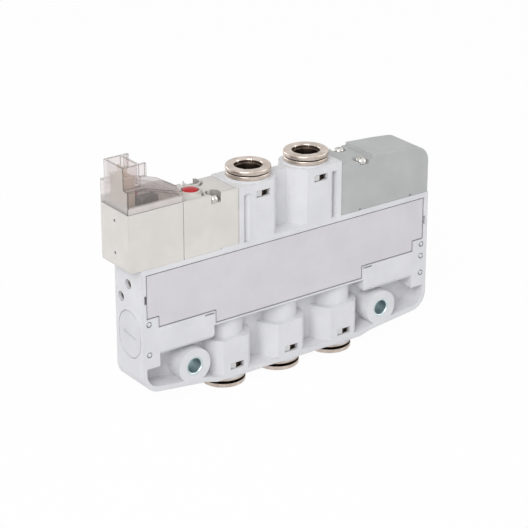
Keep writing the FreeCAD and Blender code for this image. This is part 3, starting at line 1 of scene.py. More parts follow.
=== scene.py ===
"""Looks of a slim five-way air valve with push-in tube fittings.

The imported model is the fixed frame.  Each class below dresses one group of
pieces as it would come off the bench: the resin moulding, the tube fittings,
the pilot, the coil, the see-through plug cover and the end cover.  Pieces that
keep the frame's shape, such as the spool, only get their material.
"""
import json
import logging
import math
from contextlib import contextmanager
from dataclasses import dataclass, field
from enum import Enum
from typing import Callable, ClassVar, Iterator, Sequence

import bmesh
import bpy
from mathutils import Euler, Matrix, Vector


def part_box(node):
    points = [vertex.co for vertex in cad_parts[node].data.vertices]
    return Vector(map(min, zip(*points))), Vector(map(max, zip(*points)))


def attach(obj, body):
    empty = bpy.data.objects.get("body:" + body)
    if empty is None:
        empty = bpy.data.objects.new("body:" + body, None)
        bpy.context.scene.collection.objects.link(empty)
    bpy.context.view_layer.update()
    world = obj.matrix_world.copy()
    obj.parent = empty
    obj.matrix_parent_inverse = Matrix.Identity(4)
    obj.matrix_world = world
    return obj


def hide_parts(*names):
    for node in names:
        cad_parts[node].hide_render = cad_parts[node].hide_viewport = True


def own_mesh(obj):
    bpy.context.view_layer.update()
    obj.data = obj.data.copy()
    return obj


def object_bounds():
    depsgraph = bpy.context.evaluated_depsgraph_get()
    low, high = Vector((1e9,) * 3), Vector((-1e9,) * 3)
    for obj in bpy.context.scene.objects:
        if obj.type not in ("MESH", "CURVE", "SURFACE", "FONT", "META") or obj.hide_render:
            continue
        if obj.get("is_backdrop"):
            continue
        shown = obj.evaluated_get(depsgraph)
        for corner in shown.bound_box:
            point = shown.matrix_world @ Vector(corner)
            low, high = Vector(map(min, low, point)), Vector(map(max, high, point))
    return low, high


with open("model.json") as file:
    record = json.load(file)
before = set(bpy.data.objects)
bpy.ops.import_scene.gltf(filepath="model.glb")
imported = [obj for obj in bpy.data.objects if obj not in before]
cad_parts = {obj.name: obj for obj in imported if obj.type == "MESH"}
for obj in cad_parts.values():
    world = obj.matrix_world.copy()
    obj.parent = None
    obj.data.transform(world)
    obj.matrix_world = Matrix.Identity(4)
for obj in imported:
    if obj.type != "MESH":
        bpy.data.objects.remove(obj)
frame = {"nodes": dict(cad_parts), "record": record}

LOG = logging.getLogger("valve")
MM = 0.001
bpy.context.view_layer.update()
RECORD = frame["record"]
BODY_OF = {node: body for body, nodes in RECORD["behaviour"]["bodies"].items() for node in nodes}
MOUNTS = {mount["name"]: mount for mount in RECORD["mounts"]}

# Points of the frame's meshes, and of a turned one, that are this close are one point.
FRAME_WELD = 0.002 * MM
TURNED_WELD = 0.001 * MM
# Triangles of one flat face lie within this many degrees of one another.
FLAT_WITHIN = 0.4
# Two roundings that meet take up to this share of the shorter edge.
ROOM_SHARE = 0.4
# Strips of a curve turn by these radians from one to the next, and a flat face is this much broader.
STRIP_TURN = (0.008, 0.4)
FLAT_BREADTH = 1.8
# A turned piece with no bore keeps a hair-thin one, so that its outline can close.
AXIS_HOLE = 0.05 * MM
# Edges flatter than this many degrees are shaded smooth.
SMOOTH_BELOW = 35.0
# Distance in which a wave texture of scale 1 repeats.
WAVE_REPEAT = math.pi / 10

Piece = bpy.types.Object
Tree = bpy.types.NodeTree
Socket = bpy.types.NodeSocket
Pair = tuple[float, float]
Triple = tuple[float, float, float]
FaceTest = Callable[[bmesh.types.BMFace], bool]


# Working in Blender

def deselect_all() -> None:
    """Clear the selection, so that an operator acts only on what is chosen next."""
    if bpy.context.object and bpy.context.object.mode != "OBJECT":
        bpy.ops.object.mode_set(mode="OBJECT")
    bpy.ops.object.select_all(action="DESELECT")


def select_only(piece: Piece) -> None:
    """Make one object the active and only selected one."""
    deselect_all()
    piece.select_set(True)
    bpy.context.view_layer.objects.active = piece


@contextmanager
def editing(piece: Piece, all_selected: bool = True) -> Iterator[None]:
    """Open a piece in edit mode and close it again.

    Args:
        piece: The object to edit.
        all_selected: Whether the whole mesh starts selected.
    """
    select_only(piece)
    bpy.ops.object.mode_set(mode="EDIT")
    bpy.ops.mesh.select_mode(type="VERT")
    bpy.ops.mesh.select_all(action="SELECT" if all_selected else "DESELECT")
    yield
    bpy.ops.object.mode_set(mode="OBJECT")


def select_faces(piece: Piece, chosen: FaceTest) -> None:
    """Select faces of the mesh in edit mode by a test.

    Args:
        piece: The object in edit mode.
        chosen: Whether a face is wanted.
    """
    bpy.ops.mesh.select_mode(type="FACE")
    mesh = bmesh.from_edit_mesh(piece.data)
    for face in mesh.faces:
        face.select_set(chosen(face))
    bmesh.update_edit_mesh(piece.data)


def apply_modifier(piece: Piece, kind: str, **settings: object) -> None:
    """Add a modifier with its settings and apply it.

    Args:
        piece: The object to change.
        kind: The modifier's type.
        **settings: Its properties by name.
    """
    select_only(piece)
    modifier = piece.modifiers.new(kind.lower(), kind)
    for name, value in settings.items():
        setattr(modifier, name, value)
    bpy.ops.object.modifier_apply(modifier=modifier.name)


def corner_room(edge: bmesh.types.BMEdge, vert: bmesh.types.BMVert, other: bmesh.types.BMEdge) -> float:
    """Find how wide two edges that meet can be rounded before their roundings cross.

    Args:
        edge: One edge.
        vert: Where they meet.
        other: The other edge.

    Returns:
        The width in metres.
    """
    first = vert.co - edge.other_vert(vert).co
    second = other.other_vert(vert).co - vert.co
    bend = max(math.tan(first.angle(second, 0.0) / 2), 0.001)
    return ROOM_SHARE * min(first.length, second.length) / bend


def round_edges(piece: Piece, width: float, sharper_than: float = 32.0,
                segments: int = 2, share: float = 0.35, slot: int = -1) -> None:
    """Round the sharp edges of a piece, each by no more than its narrower neighbour can carry.

    Args:
        piece: The object to change.
        width: Width of the rounding in metres.
        sharper_than: Smallest angle in degrees that counts as an edge.
        segments: Faces across the rounding.
        share: Most of a neighbouring face's breadth that the rounding takes.
        slot: Material slot of the new faces, or -1 for that of their neighbours.
    """
    mesh = bmesh.new()
    mesh.from_mesh(piece.data)
    weight = mesh.edges.layers.float.new("bevel_weight_edge")
    sharp = {edge for edge in mesh.edges
             if edge.is_manifold and edge.calc_face_angle(0.0) > math.radians(sharper_than)}
    for edge in sharp:
        beside = share * min(face.calc_area() for face in edge.link_faces) / edge.calc_length()
        corners = [corner_room(edge, vert, other) for vert in edge.verts
                   for other in vert.link_edges if other is not edge and other in sharp]
        edge[weight] = min(1.0, min([beside] + corners) / width)
    mesh.to_mesh(piece.data)
    mesh.free()
    apply_modifier(piece, "BEVEL", width=width, segments=segments, limit_method="WEIGHT",
                   loop_slide=False, use_clamp_overlap=False, miter_outer="MITER_ARC", material=slot)
    piece.data.attributes.remove(piece.data.attributes["bevel_weight_edge"])


def own_copy(source: Piece, name: str, offset: Triple | Vector = (0.0, 0.0, 0.0)) -> Piece:
    """Copy an object with a mesh of its own.

    Args:
        source: The object to copy, which isn't dressed yet.
        name: Name of the copy.
        offset: How far the copy's mesh is moved.

    Returns:
        The copy, with no material and riding on nothing yet.
    """
    piece = bpy.data.objects.new(name, source.data.copy())
    piece.data.name = name
    piece.data.materials.clear()
    piece.data.transform(Matrix.Translation(offset))
    bpy.context.scene.collection.objects.link(piece)
    return piece


def merged_copy(node: str, name: str) -> Piece:
    """Copy a node of the frame as a joined mesh with whole flat faces.

    Args:
        node: The node's name.
        name: Name of the copy.

    Returns:
        The copy.
    """
    piece = own_copy(frame["nodes"][node], name)
    select_only(piece)
    bpy.ops.mesh.customdata_custom_splitnormals_clear()
    with editing(piece):
        bpy.ops.mesh.remove_doubles(threshold=FRAME_WELD)
        bpy.ops.mesh.dissolve_limited(angle_limit=math.radians(FLAT_WITHIN))
    return piece


def turned(name: str, axis: Vector, profile: Sequence[Pair], segments: int = 96) -> Piece:
    """Turn a closed outline round an upright axis, from one circle extruded from step to step.

    Args:
        name: Name of the piece.
        axis: A point on the axis, from which heights are measured.
        profile: Corners as (radius, height) in metres, in order round the section.
        segments: Sides of the circle.

    Returns:
        The turned piece.
    """
    deselect_all()
    radius, height = profile[0]
    start = axis + Vector((0, 0, height))
    bpy.ops.mesh.primitive_circle_add(vertices=segments, radius=radius, location=start)
    piece = bpy.context.object
    piece.name = piece.data.name = name
    bpy.ops.object.transform_apply(location=True, rotation=True, scale=True)
    with editing(piece):
        for next_radius, next_height in list(profile[1:]) + [profile[0]]:
            rise = (0, 0, next_height - height)
            bpy.ops.mesh.extrude_region_move(TRANSFORM_OT_translate={"value": rise})
            scale = next_radius / radius
            bpy.ops.transform.resize(value=(scale, scale, 1), center_override=axis)
            radius, height = next_radius, next_height
        bpy.ops.mesh.select_all(action="SELECT")
        bpy.ops.mesh.remove_doubles(threshold=TURNED_WELD)
        bpy.ops.mesh.normals_make_consistent(inside=False)
    return piece


def sink_blade(piece: Piece, middle: Vector, size: Triple, turn: Triple,
               taper: Triple = (1.0, 1.0, 1.0)) -> None:
    """Cut a straight slot into a piece.

    Args:
        piece: The object to cut.
        middle: Middle of the blade that cuts.
        size: Size of the blade in metres, before it is turned.
        turn: Turn of the blade about each axis in degrees.
        taper: Scale of the blade's lower face.
    """
    deselect_all()
    bpy.ops.mesh.primitive_cube_add(size=1, location=middle)
    blade = bpy.context.object
    blade.scale = size
    bpy.ops.object.transform_apply(location=False, rotation=False, scale=True)
    with editing(blade, all_selected=False):
        select_faces(blade, lambda face: face.normal.z < -0.5)
        bpy.ops.transform.resize(value=taper, center_override=middle)
    blade.rotation_euler = Euler([math.radians(angle) for angle in turn])
    select_only(blade)
    bpy.ops.object.transform_apply(location=True, rotation=True, scale=True)
    apply_modifier(piece, "BOOLEAN", operation="DIFFERENCE", solver="EXACT", object=blade)
    bpy.data.objects.remove(blade)


def give_slot(piece: Piece, slot: int, chosen: Callable[[bpy.types.MeshPolygon], bool]) -> None:
    """Give the chosen faces of a piece another of its material slots.

    Args:
        piece: The object, which already has the material.
        slot: Number of the slot.
        chosen: Whether a face is wanted.
    """
    for face in piece.data.polygons:
        if chosen(face):
            face.material_index = slot


def is_flat(face: bmesh.types.BMFace) -> bool:
    """Tell a flat face from a strip of a curve, which is about as broad as the strips beside it.

    Args:
        face: The face.

    Returns:
        Whether it is flat.
    """
    for edge in face.edges:
        if edge.is_manifold and STRIP_TURN[0] < edge.calc_face_angle(0.0) < STRIP_TURN[1]:
            beside = max(other.calc_area() for other in edge.link_faces if other is not face)
            if face.calc_area() < FLAT_BREADTH * beside:
                return False
    return True


def shade(piece: Piece) -> None:
    """Shade curves smoothly while the flat faces that they run into stay flat."""
    with editing(piece, all_selected=False):
        select_faces(piece, is_flat)
        bpy.ops.mesh.mod_weighted_strength(set=True, face_strength="STRONG")
    select_only(piece)
    bpy.ops.object.shade_smooth_by_angle(angle=math.radians(SMOOTH_BELOW), keep_sharp_edges=False)
    apply_modifier(piece, "WEIGHTED_NORMAL", mode="CORNER_ANGLE", keep_sharp=True,
                   use_face_influence=True)


def give_finishes(piece: Piece, *finishes: "Finish") -> None:
    """Append the material of each finish to a piece, in the order of its material slots."""
    for finish in finishes:
        piece.data.materials.append(finish.material())


def dress(piece: Piece, node: str, *finishes: "Finish") -> None:
    """Give a finished piece its materials, its shading, its body and the node that it stands for.

    Args:
        piece: The finished object.
        node: The CAD node that it replaces, which gives its body.
        *finishes: What it is made of, unless it has its materials already.
    """
    give_finishes(piece, *finishes)
    shade(piece)
    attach(piece, BODY_OF[node])
    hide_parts(node)
    LOG.info("%s stands for %s", piece.name, node)


def soft_spring(node: str, name: str) -> None:
    """Copy a coil spring as a piece with a mesh of its own.

    Args:
        node: The spring's node.
        name: Name of the copy.
    """
    spring = merged_copy(node, name)
    dress(spring, node, SPRING_STEEL)
    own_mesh(spring)


def paint(node: str, finish: "Finish") -> None:
    """Give a node of the frame, whose shape stays, its material.

    Args:
        node: The node's name.
        finish: What it is made of.
    """
    mesh = frame["nodes"][node].data
    mesh.materials.clear()
    mesh.materials.append(finish.material())
    LOG.info("%s keeps its shape", node)


# Colours and node trees

def linear(colour: str) -> tuple[float, float, float, float]:
    """Turn an sRGB colour into the linear values that a shader takes.

    Args:
        colour: The colour in hex, such as #D0D2D4.

    Returns:
        Linear red, green and blue, with an alpha of 1.
    """
    channels = [int(colour[place:place + 2], 16) / 255 for place in (1, 3, 5)]
    red, green, blue = (c / 12.92 if c <= 0.04045 else ((c + 0.055) / 1.055) ** 2.4 for c in channels)
    return red, green, blue, 1.0


def add_node(tree: Tree, kind: str, settings: dict | None = None,
             links: dict | None = None) -> bpy.types.Node:
    """Add a node with its settings and links.

    Args:
        tree: The node tree.
        kind: The node's type name without the ShaderNode prefix.
        settings: Socket values by input name or number, and properties of the node by attribute name.
        links: Output sockets by the name or number of the input that they feed.

    Returns:
        The node.
    """
    node = tree.nodes.new("ShaderNode" + kind)
    for name, value in (settings or {}).items():
        if isinstance(name, int) or name in node.inputs:
            node.inputs[name].default_value = value
        else:
            setattr(node, name, value)
    for name, output in (links or {}).items():
        tree.links.new(output, node.inputs[name])
    return node


@dataclass(frozen=True)
class Finish:
    """What a piece is made of: a named material of two near colours, built once and shared."""

    name: str
    colour: str
    shade: str
    # Size of the soft patches in which the two colours blend.
    patch: ClassVar[float]

    def material(self) -> bpy.types.Material:
        """Build the material at its first use.

        Returns:
            The material, the same one each time.
        """
        known = bpy.data.materials.get(self.name)
        if known:
            return known
        made = bpy.data.materials.new(self.name)
        made.use_nodes = True
        tree = made.node_tree
        tree.nodes.clear()
        place = add_node(tree, "TexCoord").outputs["Object"]
        colour = mottled(tree, place, self.colour, self.shade, self.patch)
        add_node(tree, "OutputMaterial", links={"Surface": self.shader(tree, place, colour)})
        return made

    def shader(self, tree: Tree, place: Socket, colour: Socket) -> Socket:
        """Build the nodes, which each finish does in its own way.

        Args:
            tree: The material's node tree.
            place: The coordinates that its textures follow.
            colour: The blend of its two colours.

        Returns:
            The shader's output.
        """
        raise NotImplementedError


def mottled(tree: Tree, place: Socket, first: str, second: str, patch: float) -> Socket:
    """Blend two near colours in soft patches.

    Args:
        tree: The node tree.
        place: The coordinates that the patches follow.
        first: One colour as sRGB hex.
        second: The other.
        patch: Size of a patch in metres.

    Returns:
        The colour output.
    """
    cloud = add_node(tree, "TexNoise", {"Scale": 1 / patch, "Detail": 3.0, "Roughness": 0.55},
                     {"Vector": place})
    ramp = add_node(tree, "ValToRGB", links={"Fac": cloud.outputs["Fac"]})
    ramp.color_ramp.elements[0].position = 0.35
    ramp.color_ramp.elements[1].position = 0.68
    ramp.color_ramp.elements[0].color = linear(first)
    ramp.color_ramp.elements[1].color = linear(second)
    return ramp.outputs["Color"]


@dataclass(frozen=True)
class MouldedResin(Finish):
    """Glass-filled PBT or ABS from a spark-eroded mould: an even, fine-grained matt skin."""

    roughness: float = 0.5
    # The real grain is about 0.05 mm, which is drawn three times as coarse so that it shows.
    grain: float = 0.16 * MM
    relief: float = 0.006 * MM
    patch = 9.0 * MM
    # A moulded corner is never sharp: the light turns over it within this radius.
    corner: float = 0.3 * MM
    # Share of the mirrored light, where 0.5 is the resin's own; a dulled skin has less.
    sheen: float = 0.5

    def shader(self, tree: Tree, place: Socket, colour: Socket) -> Socket:
        """Build grain as bump over softened corners, a soft mottle and a little spread of gloss."""
        grain = add_node(tree, "TexNoise", {"Scale": 1 / self.grain, "Detail": 2.0}, {"Vector": place})
        turned_light = add_node(tree, "Bevel", {"Radius": self.corner, "samples": 6}).outputs["Normal"]
        bump = add_node(tree, "Bump", {"Strength": 0.6, "Distance": self.relief},
                        {"Height": grain.outputs["Fac"], "Normal": turned_light})
        gloss = add_node(tree, "MapRange",
                         {"To Min": self.roughness - 0.06, "To Max": self.roughness + 0.06},
                         {"Value": grain.outputs["Fac"]})
        return add_node(tree, "BsdfPrincipled", {"IOR": 1.52, "Specular IOR Level": self.sheen},
                        {"Base Color": colour, "Roughness": gloss.outputs["Result"],
                         "Normal": bump.outputs["Normal"]}).outputs["BSDF"]


@dataclass(frozen=True)
class NickelPlate(Finish):
    """Turned brass with bright nickel: a warm silver with soft rings round its axis."""

    centre: Pair
    # Lathe lines are about 0.2 mm apart, which is drawn six times as coarse so that it shows.
    pitch: float = 1.382 * MM
    relief: float = 0.004 * MM
    patch = 3.0 * MM

    def shader(self, tree: Tree, place: Socket, colour: Socket) -> Socket:
        """Build lines round the axis on faces and sides, and clouded gloss where fingers have been."""
        centre = (-self.centre[0], -self.centre[1], 0)
        centred = add_node(tree, "Mapping", {"vector_type": "POINT", "Location": centre},
                           {"Vector": place}).outputs["Vector"]
        waves = [add_node(tree, "TexWave", {"wave_type": kind, f"{kind.lower()}_direction": "Z",
                                            "Scale": WAVE_REPEAT / self.pitch, "Distortion": 0.4,
                                            "Detail": 1.0}, {"Vector": centred})
                 for kind in ("RINGS", "BANDS")]
        lines = add_node(tree, "Math", {"operation": "ADD"},
                         {number: wave.outputs["Fac"] for number, wave in enumerate(waves)})
        bump = add_node(tree, "Bump", {"Strength": 0.35, "Distance": self.relief},
                        {"Height": lines.outputs["Value"]})
        cloud = add_node(tree, "TexNoise", {"Scale": 1 / (2.0 * MM), "Detail": 3.0}, {"Vector": place})
        gloss = add_node(tree, "MapRange", {"To Min": 0.22, "To Max": 0.36}, {"Value": cloud.outputs["Fac"]})
        return add_node(tree, "BsdfPrincipled", {"Metallic": 1.0},
                        {"Base Color": colour, "Roughness": gloss.outputs["Result"],
                         "Normal": bump.outputs["Normal"]}).outputs["BSDF"]


@dataclass(frozen=True)
class PlatedSteel(Finish):
    """Plated or bare bright metal: a silver, or a brass yellow, with faint clouds in its gloss."""

    roughness: float = 0.28
    patch = 1.6 * MM

    def shader(self, tree: Tree, place: Socket, colour: Socket) -> Socket:
        """Build clouded gloss over a metal that is uneven by thousandths of a millimetre."""
        cloud = add_node(tree, "TexNoise", {"Scale": 1 / (0.5 * MM), "Detail": 4.0}, {"Vector": place})
        gloss = add_node(tree, "MapRange",
                         {"To Min": self.roughness - 0.08, "To Max": self.roughness + 0.1},
                         {"Value": cloud.outputs["Fac"]})
        bump = add_node(tree, "Bump", {"Strength": 0.25, "Distance": 0.003 * MM},
                        {"Height": cloud.outputs["Fac"]})
        return add_node(tree, "BsdfPrincipled", {"Metallic": 1.0},
                        {"Base Color": colour, "Roughness": gloss.outputs["Result"],
                         "Normal": bump.outputs["Normal"]}).outputs["BSDF"]


@dataclass(frozen=True)
class ClearResin(Finish):
    """Moulded polycarbonate, smoky: glossy, see-through, denser where it is seen edge-on."""

    density: float = 0.06
    rim_density: float = 0.4
    # The wall is thicker at its foot, over the housing: below this height it is milky.
    foot_top: float = 0.0
    foot_density: float = 0.78
    patch = 5.0 * MM

    def shader(self, tree: Tree, place: Socket, colour: Socket) -> Socket:
        """Build tinted gloss over a clear wall, with slow flow marks from the gate."""
        flow = add_node(tree, "TexNoise", {"Scale": 1 / (4.0 * MM), "Detail": 1.0}, {"Vector": place})
        bump = add_node(tree, "Bump", {"Strength": 0.2, "Distance": 0.02 * MM},
                        {"Height": flow.outputs["Fac"]})
        wall = add_node(tree, "BsdfPrincipled", {"IOR": 1.58, "Roughness": 0.12},
                        {"Base Color": colour, "Normal": bump.outputs["Normal"]})
        clear = add_node(tree, "BsdfTransparent", {"Color": linear("#FAF7F7")})
        edge = add_node(tree, "LayerWeight", {"Blend": 0.35})
        facing = add_node(tree, "MapRange", {"To Min": self.density, "To Max": self.rim_density},
                          {"Value": edge.outputs["Facing"]})
        height = add_node(tree, "SeparateXYZ", links={"Vector": place})
        foot = add_node(tree, "MapRange",
                        {"From Min": self.foot_top - 0.5 * MM, "From Max": self.foot_top,
                         "To Min": self.foot_density, "To Max": 0.0}, {"Value": height.outputs["Z"]})
        share = add_node(tree, "Math", {"operation": "MAXIMUM"},
                         {0: facing.outputs["Result"], 1: foot.outputs["Result"]})
        mix = add_node(tree, "MixShader", links={"Fac": share.outputs["Value"],
                                                 1: clear.outputs["BSDF"], 2: wall.outputs["BSDF"]})
        return mix.outputs["Shader"]


@dataclass(frozen=True)
class SoftRubber(Finish):
    """Moulded nitrile rubber: a dull near-black with a fine bloom."""

    patch = 1.5 * MM

    def shader(self, tree: Tree, place: Socket, colour: Socket) -> Socket:
        """Build a dull black with pale bloom in patches."""
        grain = add_node(tree, "TexNoise", {"Scale": 1 / (0.2 * MM), "Detail": 2.0}, {"Vector": place})
        bump = add_node(tree, "Bump", {"Strength": 0.3, "Distance": 0.01 * MM},
                        {"Height": grain.outputs["Fac"]})
        return add_node(tree, "BsdfPrincipled", {"Roughness": 0.7, "IOR": 1.5},
                        {"Base Color": colour, "Normal": bump.outputs["Normal"]}).outputs["BSDF"]


@dataclass(frozen=True)
class RidgedSkin(Finish):
    """Even ridges under a gloss: wire wound side by side, or a board's cloth under its lacquer."""

    patch: float
    # Distance between ridges, which is drawn six times as coarse as the real one.
    pitch: float
    # The two ways that ridges are counted, or one way twice.
    ways: tuple[str, str]
    strength: float
    relief: float
    roughness: float
    metal: float = 0.0
    lacquer: float = 0.0

    def shader(self, tree: Tree, place: Socket, colour: Socket) -> Socket:
        """Build the ridges as bump under a mottled colour."""
        rows = [add_node(tree, "TexWave", {"wave_type": "BANDS", "bands_direction": way,
                                           "Scale": WAVE_REPEAT / self.pitch}, {"Vector": place})
                for way in self.ways]
        ridges = add_node(tree, "Math", {"operation": "MAXIMUM"},
                          {number: row.outputs["Fac"] for number, row in enumerate(rows)})
        bump = add_node(tree, "Bump", {"Strength": self.strength, "Distance": self.relief},
                        {"Height": ridges.outputs["Value"]})
        return add_node(tree, "BsdfPrincipled", {"Metallic": self.metal, "Roughness": self.roughness,
                                                 "Coat Weight": self.lacquer},
                        {"Base Color": colour, "Normal": bump.outputs["Normal"]}).outputs["BSDF"]


# Painted shade: the dark brown of the fittings' deep inner faces, which lie in shade.
NICKEL_PAINTED_SHADE = PlatedSteel("nickel_painted_shade", "#574B43", "#40362F", 0.4)
BODY_RESIN = MouldedResin("pbt_light_grey", "#E2E2E4", "#DADADD", 0.46)
PLUG_RESIN = MouldedResin("pbt_light_grey_plug", "#DDDDDF", "#D4D4D7", 0.42, corner=0.15 * MM)
PLATE_RESIN = MouldedResin("smooth_lilac_grey_plate", "#D8D5D9", "#D2CFD4", 0.5, relief=0.003 * MM)
HOUSING_RESIN = MouldedResin("pbt_warm_grey", "#DEDAD5", "#D7D3CE", 0.5)
END_RESIN = MouldedResin("abs_greenish_grey", "#BABBBA", "#B2B4B3", 0.42)
# Painted shade on the upright walls of the adapter's screw wells.
WELL_PAINTED_SHADE = MouldedResin("well_wall_painted_shade", "#A9A5A1", "#9E9A96", 0.6)
# The shallow recessed mould marks of the body and the coil: a darker grey that is painted shade.
MARK_PAINTED_SHADE = MouldedResin("mould_mark_painted_shade", "#85878B", "#7B7D81", 0.6)
# Painted shadow: the dark grey of the plate's edges and roundings, for the shadow in the gap round the
# plate.
PLATE_EDGE_PAINTED_SHADE = MouldedResin("plate_edge_painted_shade", "#838187", "#79777E", 0.6)
BUTTON_RESIN = MouldedResin("pom_red", "#BC131D", "#AC1018", 0.34, relief=0.003 * MM, corner=0.1 * MM,
                            sheen=0.28)
INNER_RESIN = MouldedResin("pa_black", "#2A2A2B", "#222223", 0.5)
HEADER_RESIN = MouldedResin("pa_tan", "#D8CBBC", "#CDBFAF", 0.45)
COMPONENT_RESIN = MouldedResin("epoxy_black", "#494744", "#3F3D3A", 0.35)
LAMP_RESIN = MouldedResin("lamp_lens_red", "#B83A34", "#A8302C", 0.15)
CLEAR_RESIN = ClearResin("polycarbonate_smoky", "#E6E0DD", "#DBD4D1", foot_top=69.9 * MM)
# The cover's rounded edges: denser, with a dark tint that is painted shade.
CLEAR_EDGE_PAINTED_SHADE = ClearResin("polycarbonate_edge_painted_shade", "#6E6967", "#605B59", 0.6, 0.85)
CLEAR_END = ClearResin("polycarbonate_misted_end", "#E2DFDC", "#D9D5D2", 0.4, 0.6)
CLEAR_SLOPE = ClearResin("polycarbonate_misted_slope", "#BDB2AE", "#B4A9A5", 0.42, 0.62)
BUSH_STEEL = PlatedSteel("zinc_plated_steel", "#D2DDDF", "#C0CFD2", 0.4)
SCREW_STEEL = PlatedSteel("nickel_plated_screw_steel", "#D2D0CC", "#BEBBB6", 0.2)
# The end screws deep in their holes: a darker steel that is painted shade.
SUNK_STEEL_PAINTED_SHADE = PlatedSteel("sunk_screw_steel_painted_shade", "#A8A5A1", "#8F8C88", 0.34)
SPRING_STEEL = PlatedSteel("spring_steel", "#E6E2DD", "#D3CEC8", 0.32)
MAGNET_STEEL = PlatedSteel("soft_magnetic_steel", "#A7A7A8", "#98989A", 0.36)
SPOOL_ALLOY = PlatedSteel("ground_aluminium", "#CFD2D6", "#C0C4C9", 0.3)
CONTACT_TIN = PlatedSteel("tin_plated_pins", "#EADFCF", "#DACDB9", 0.3)
VALVE_BRASS = PlatedSteel("plain_brass", "#C9A868", "#B6955A", 0.3)
RUBBER = SoftRubber("nitrile_rubber", "#1B1B1C", "#262627")
COPPER = RidgedSkin("enamelled_copper_winding", "#B4622C", "#8F4A22", 1.2 * MM, 1.257 * MM, ("Z", "Z"),
                    0.7, 0.05 * MM, 0.3, metal=0.9)
BOARD = RidgedSkin("glass_fibre_board", "#CFCBC3", "#C3BFB6", 2.0 * MM, 3.142 * MM, ("X", "Y"),
                   0.3, 0.01 * MM, 0.35, lacquer=0.3)

# Nodes whose shape stays as the frame has it, with what they are made of.
KEPT_SHAPES = {
    "adapter_gasket": RUBBER, "override_oring": RUBBER, "indicator_led": LAMP_RESIN,
    "coil_bobbin": INNER_RESIN, "coil_winding": COPPER, "valve_seat": VALVE_BRASS,
    "magnet_yoke": MAGNET_STEEL, "fixed_core": MAGNET_STEEL, "armature": MAGNET_STEEL,
    "spool": SPOOL_ALLOY, "spool_seals": RUBBER, "pilot_piston": INNER_RESIN,
    "pilot_piston_seal": RUBBER, "return_piston": INNER_RESIN, "return_piston_seal": RUBBER}


# The object, group by group

@dataclass
class BodyMoulding:
    """The moulded body with its plate, bushes, end plugs and sunk screws."""

    thin_edge: float = 0.16 * MM
    # Slots are given as twice the depth, the length and the width, and turned in degrees.
    plug_slot: Triple = (0.8 * MM, 6.4 * MM, 0.9 * MM)
    plug_slot_turn: Triple = (8.0, 0.0, 0.0)
    screw_slot: Triple = (0.9 * MM, 3.4 * MM, 0.55 * MM)
    screw_slot_turn: Triple = (62.0, 0.0, 0.0)
    screw_places: tuple[Pair, ...] = ((0.2 * MM, 41.8 * MM), (4.4 * MM, 36.4 * MM))
    mark_inset: float = 2.3 * MM
    mark_radius: float = 1.0 * MM
    mark_depth: Pair = (0.01 * MM, 0.35 * MM)
    mark_rows: tuple[float, ...] = (16.4 * MM, 22.4 * MM, 26.6 * MM)
    bush_chamfer: float = 0.3 * MM
    bush_edge: float = 0.08 * MM

    def build(self) -> None:
        """Make every piece of the group."""
        body = merged_copy("valve_body", "body_moulding")
        give_finishes(body, BODY_RESIN, MARK_PAINTED_SHADE)
        low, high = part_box("valve_body")
        # The faces of the ring marks' shallow recesses take painted shade.
        give_slot(body, 1, lambda face: self.in_mark(face.center - low, high - low))
        dress(body, "valve_body")
        plate = merged_copy("face_plate", "front_plate")
        # The plate's edges and their roundings are painted dark, as the shadow in the gap round it.
        give_finishes(plate, PLATE_RESIN, PLATE_EDGE_PAINTED_SHADE)
        give_slot(plate, 1, lambda face: abs(face.normal.y) < 0.5)
        round_edges(plate, self.thin_edge, slot=1)
        dress(plate, "face_plate")
        self.bushes()
        self.plugs()
        screws = merged_copy("end_screws", "sunk_screws")
        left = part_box("end_screws")[0].x
        for y, z in self.screw_places:
            sink_blade(screws, Vector((left, y, z)), self.screw_slot, self.screw_slot_turn)
        # The sunk screws take a darker steel as painted shade in their holes.
        dress(screws, "end_screws", SUNK_STEEL_PAINTED_SHADE)

    def in_mark(self, place: Vector, size: Vector) -> bool:
        """Tell whether a place is in one of the ring marks of the front columns.

        Args:
            place: The place, counted from the body's lowest corner.
            size: The body's size.

        Returns:
            Whether it is in a mark.
        """
        from_end = min(place.x, size.x - place.x) - self.mark_inset
        if not self.mark_depth[0] < place.y < self.mark_depth[1] or abs(from_end) > self.mark_radius:
            return False
        return any(math.hypot(from_end, place.z - row) < self.mark_radius for row in self.mark_rows)

    def plugs(self) -> None:
        """Round the two end plugs, and cut a tool slot into the pilot's."""
        for side in ("pilot", "return"):
            plug = merged_copy(f"{side}_end_cap", f"{side}_plug")
            round_edges(plug, self.thin_edge)
            if side == "pilot":
                low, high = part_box("pilot_end_cap")
                face = Vector((low.x, (low.y + high.y) / 2, (low.z + high.z) / 2))
                sink_blade(plug, face, self.plug_slot, self.plug_slot_turn)
            dress(plug, f"{side}_end_cap", PLUG_RESIN)

    def bushes(self) -> None:
        """Turn a steel bush with a chamfer, lay it across the body and repeat it at the other hole."""
        low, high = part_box("mount_bush_left")
        outer, half = (high.x - low.x) / 2, (high.y - low.y) / 2
        bore = MOUNTS["mount_left"]["dims"]["r_mm"] * MM
        bevel = self.bush_chamfer
        centre = (low + high) / 2
        bush = turned("steel_bush_left", centre, [
            (outer, -half), (outer, half), (bore + bevel, half), (bore, half - bevel),
            (bore, bevel - half), (bore + bevel, -half)])
        with editing(bush):
            bpy.ops.transform.rotate(value=math.radians(90), orient_axis="X", center_override=centre)
        round_edges(bush, self.bush_edge)
        right_low, right_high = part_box("mount_bush_right")
        other = own_copy(bush, "steel_bush_right", (right_low + right_high) / 2 - centre)
        dress(bush, "mount_bush_left", BUSH_STEEL)
        dress(other, "mount_bush_right", BUSH_STEEL)


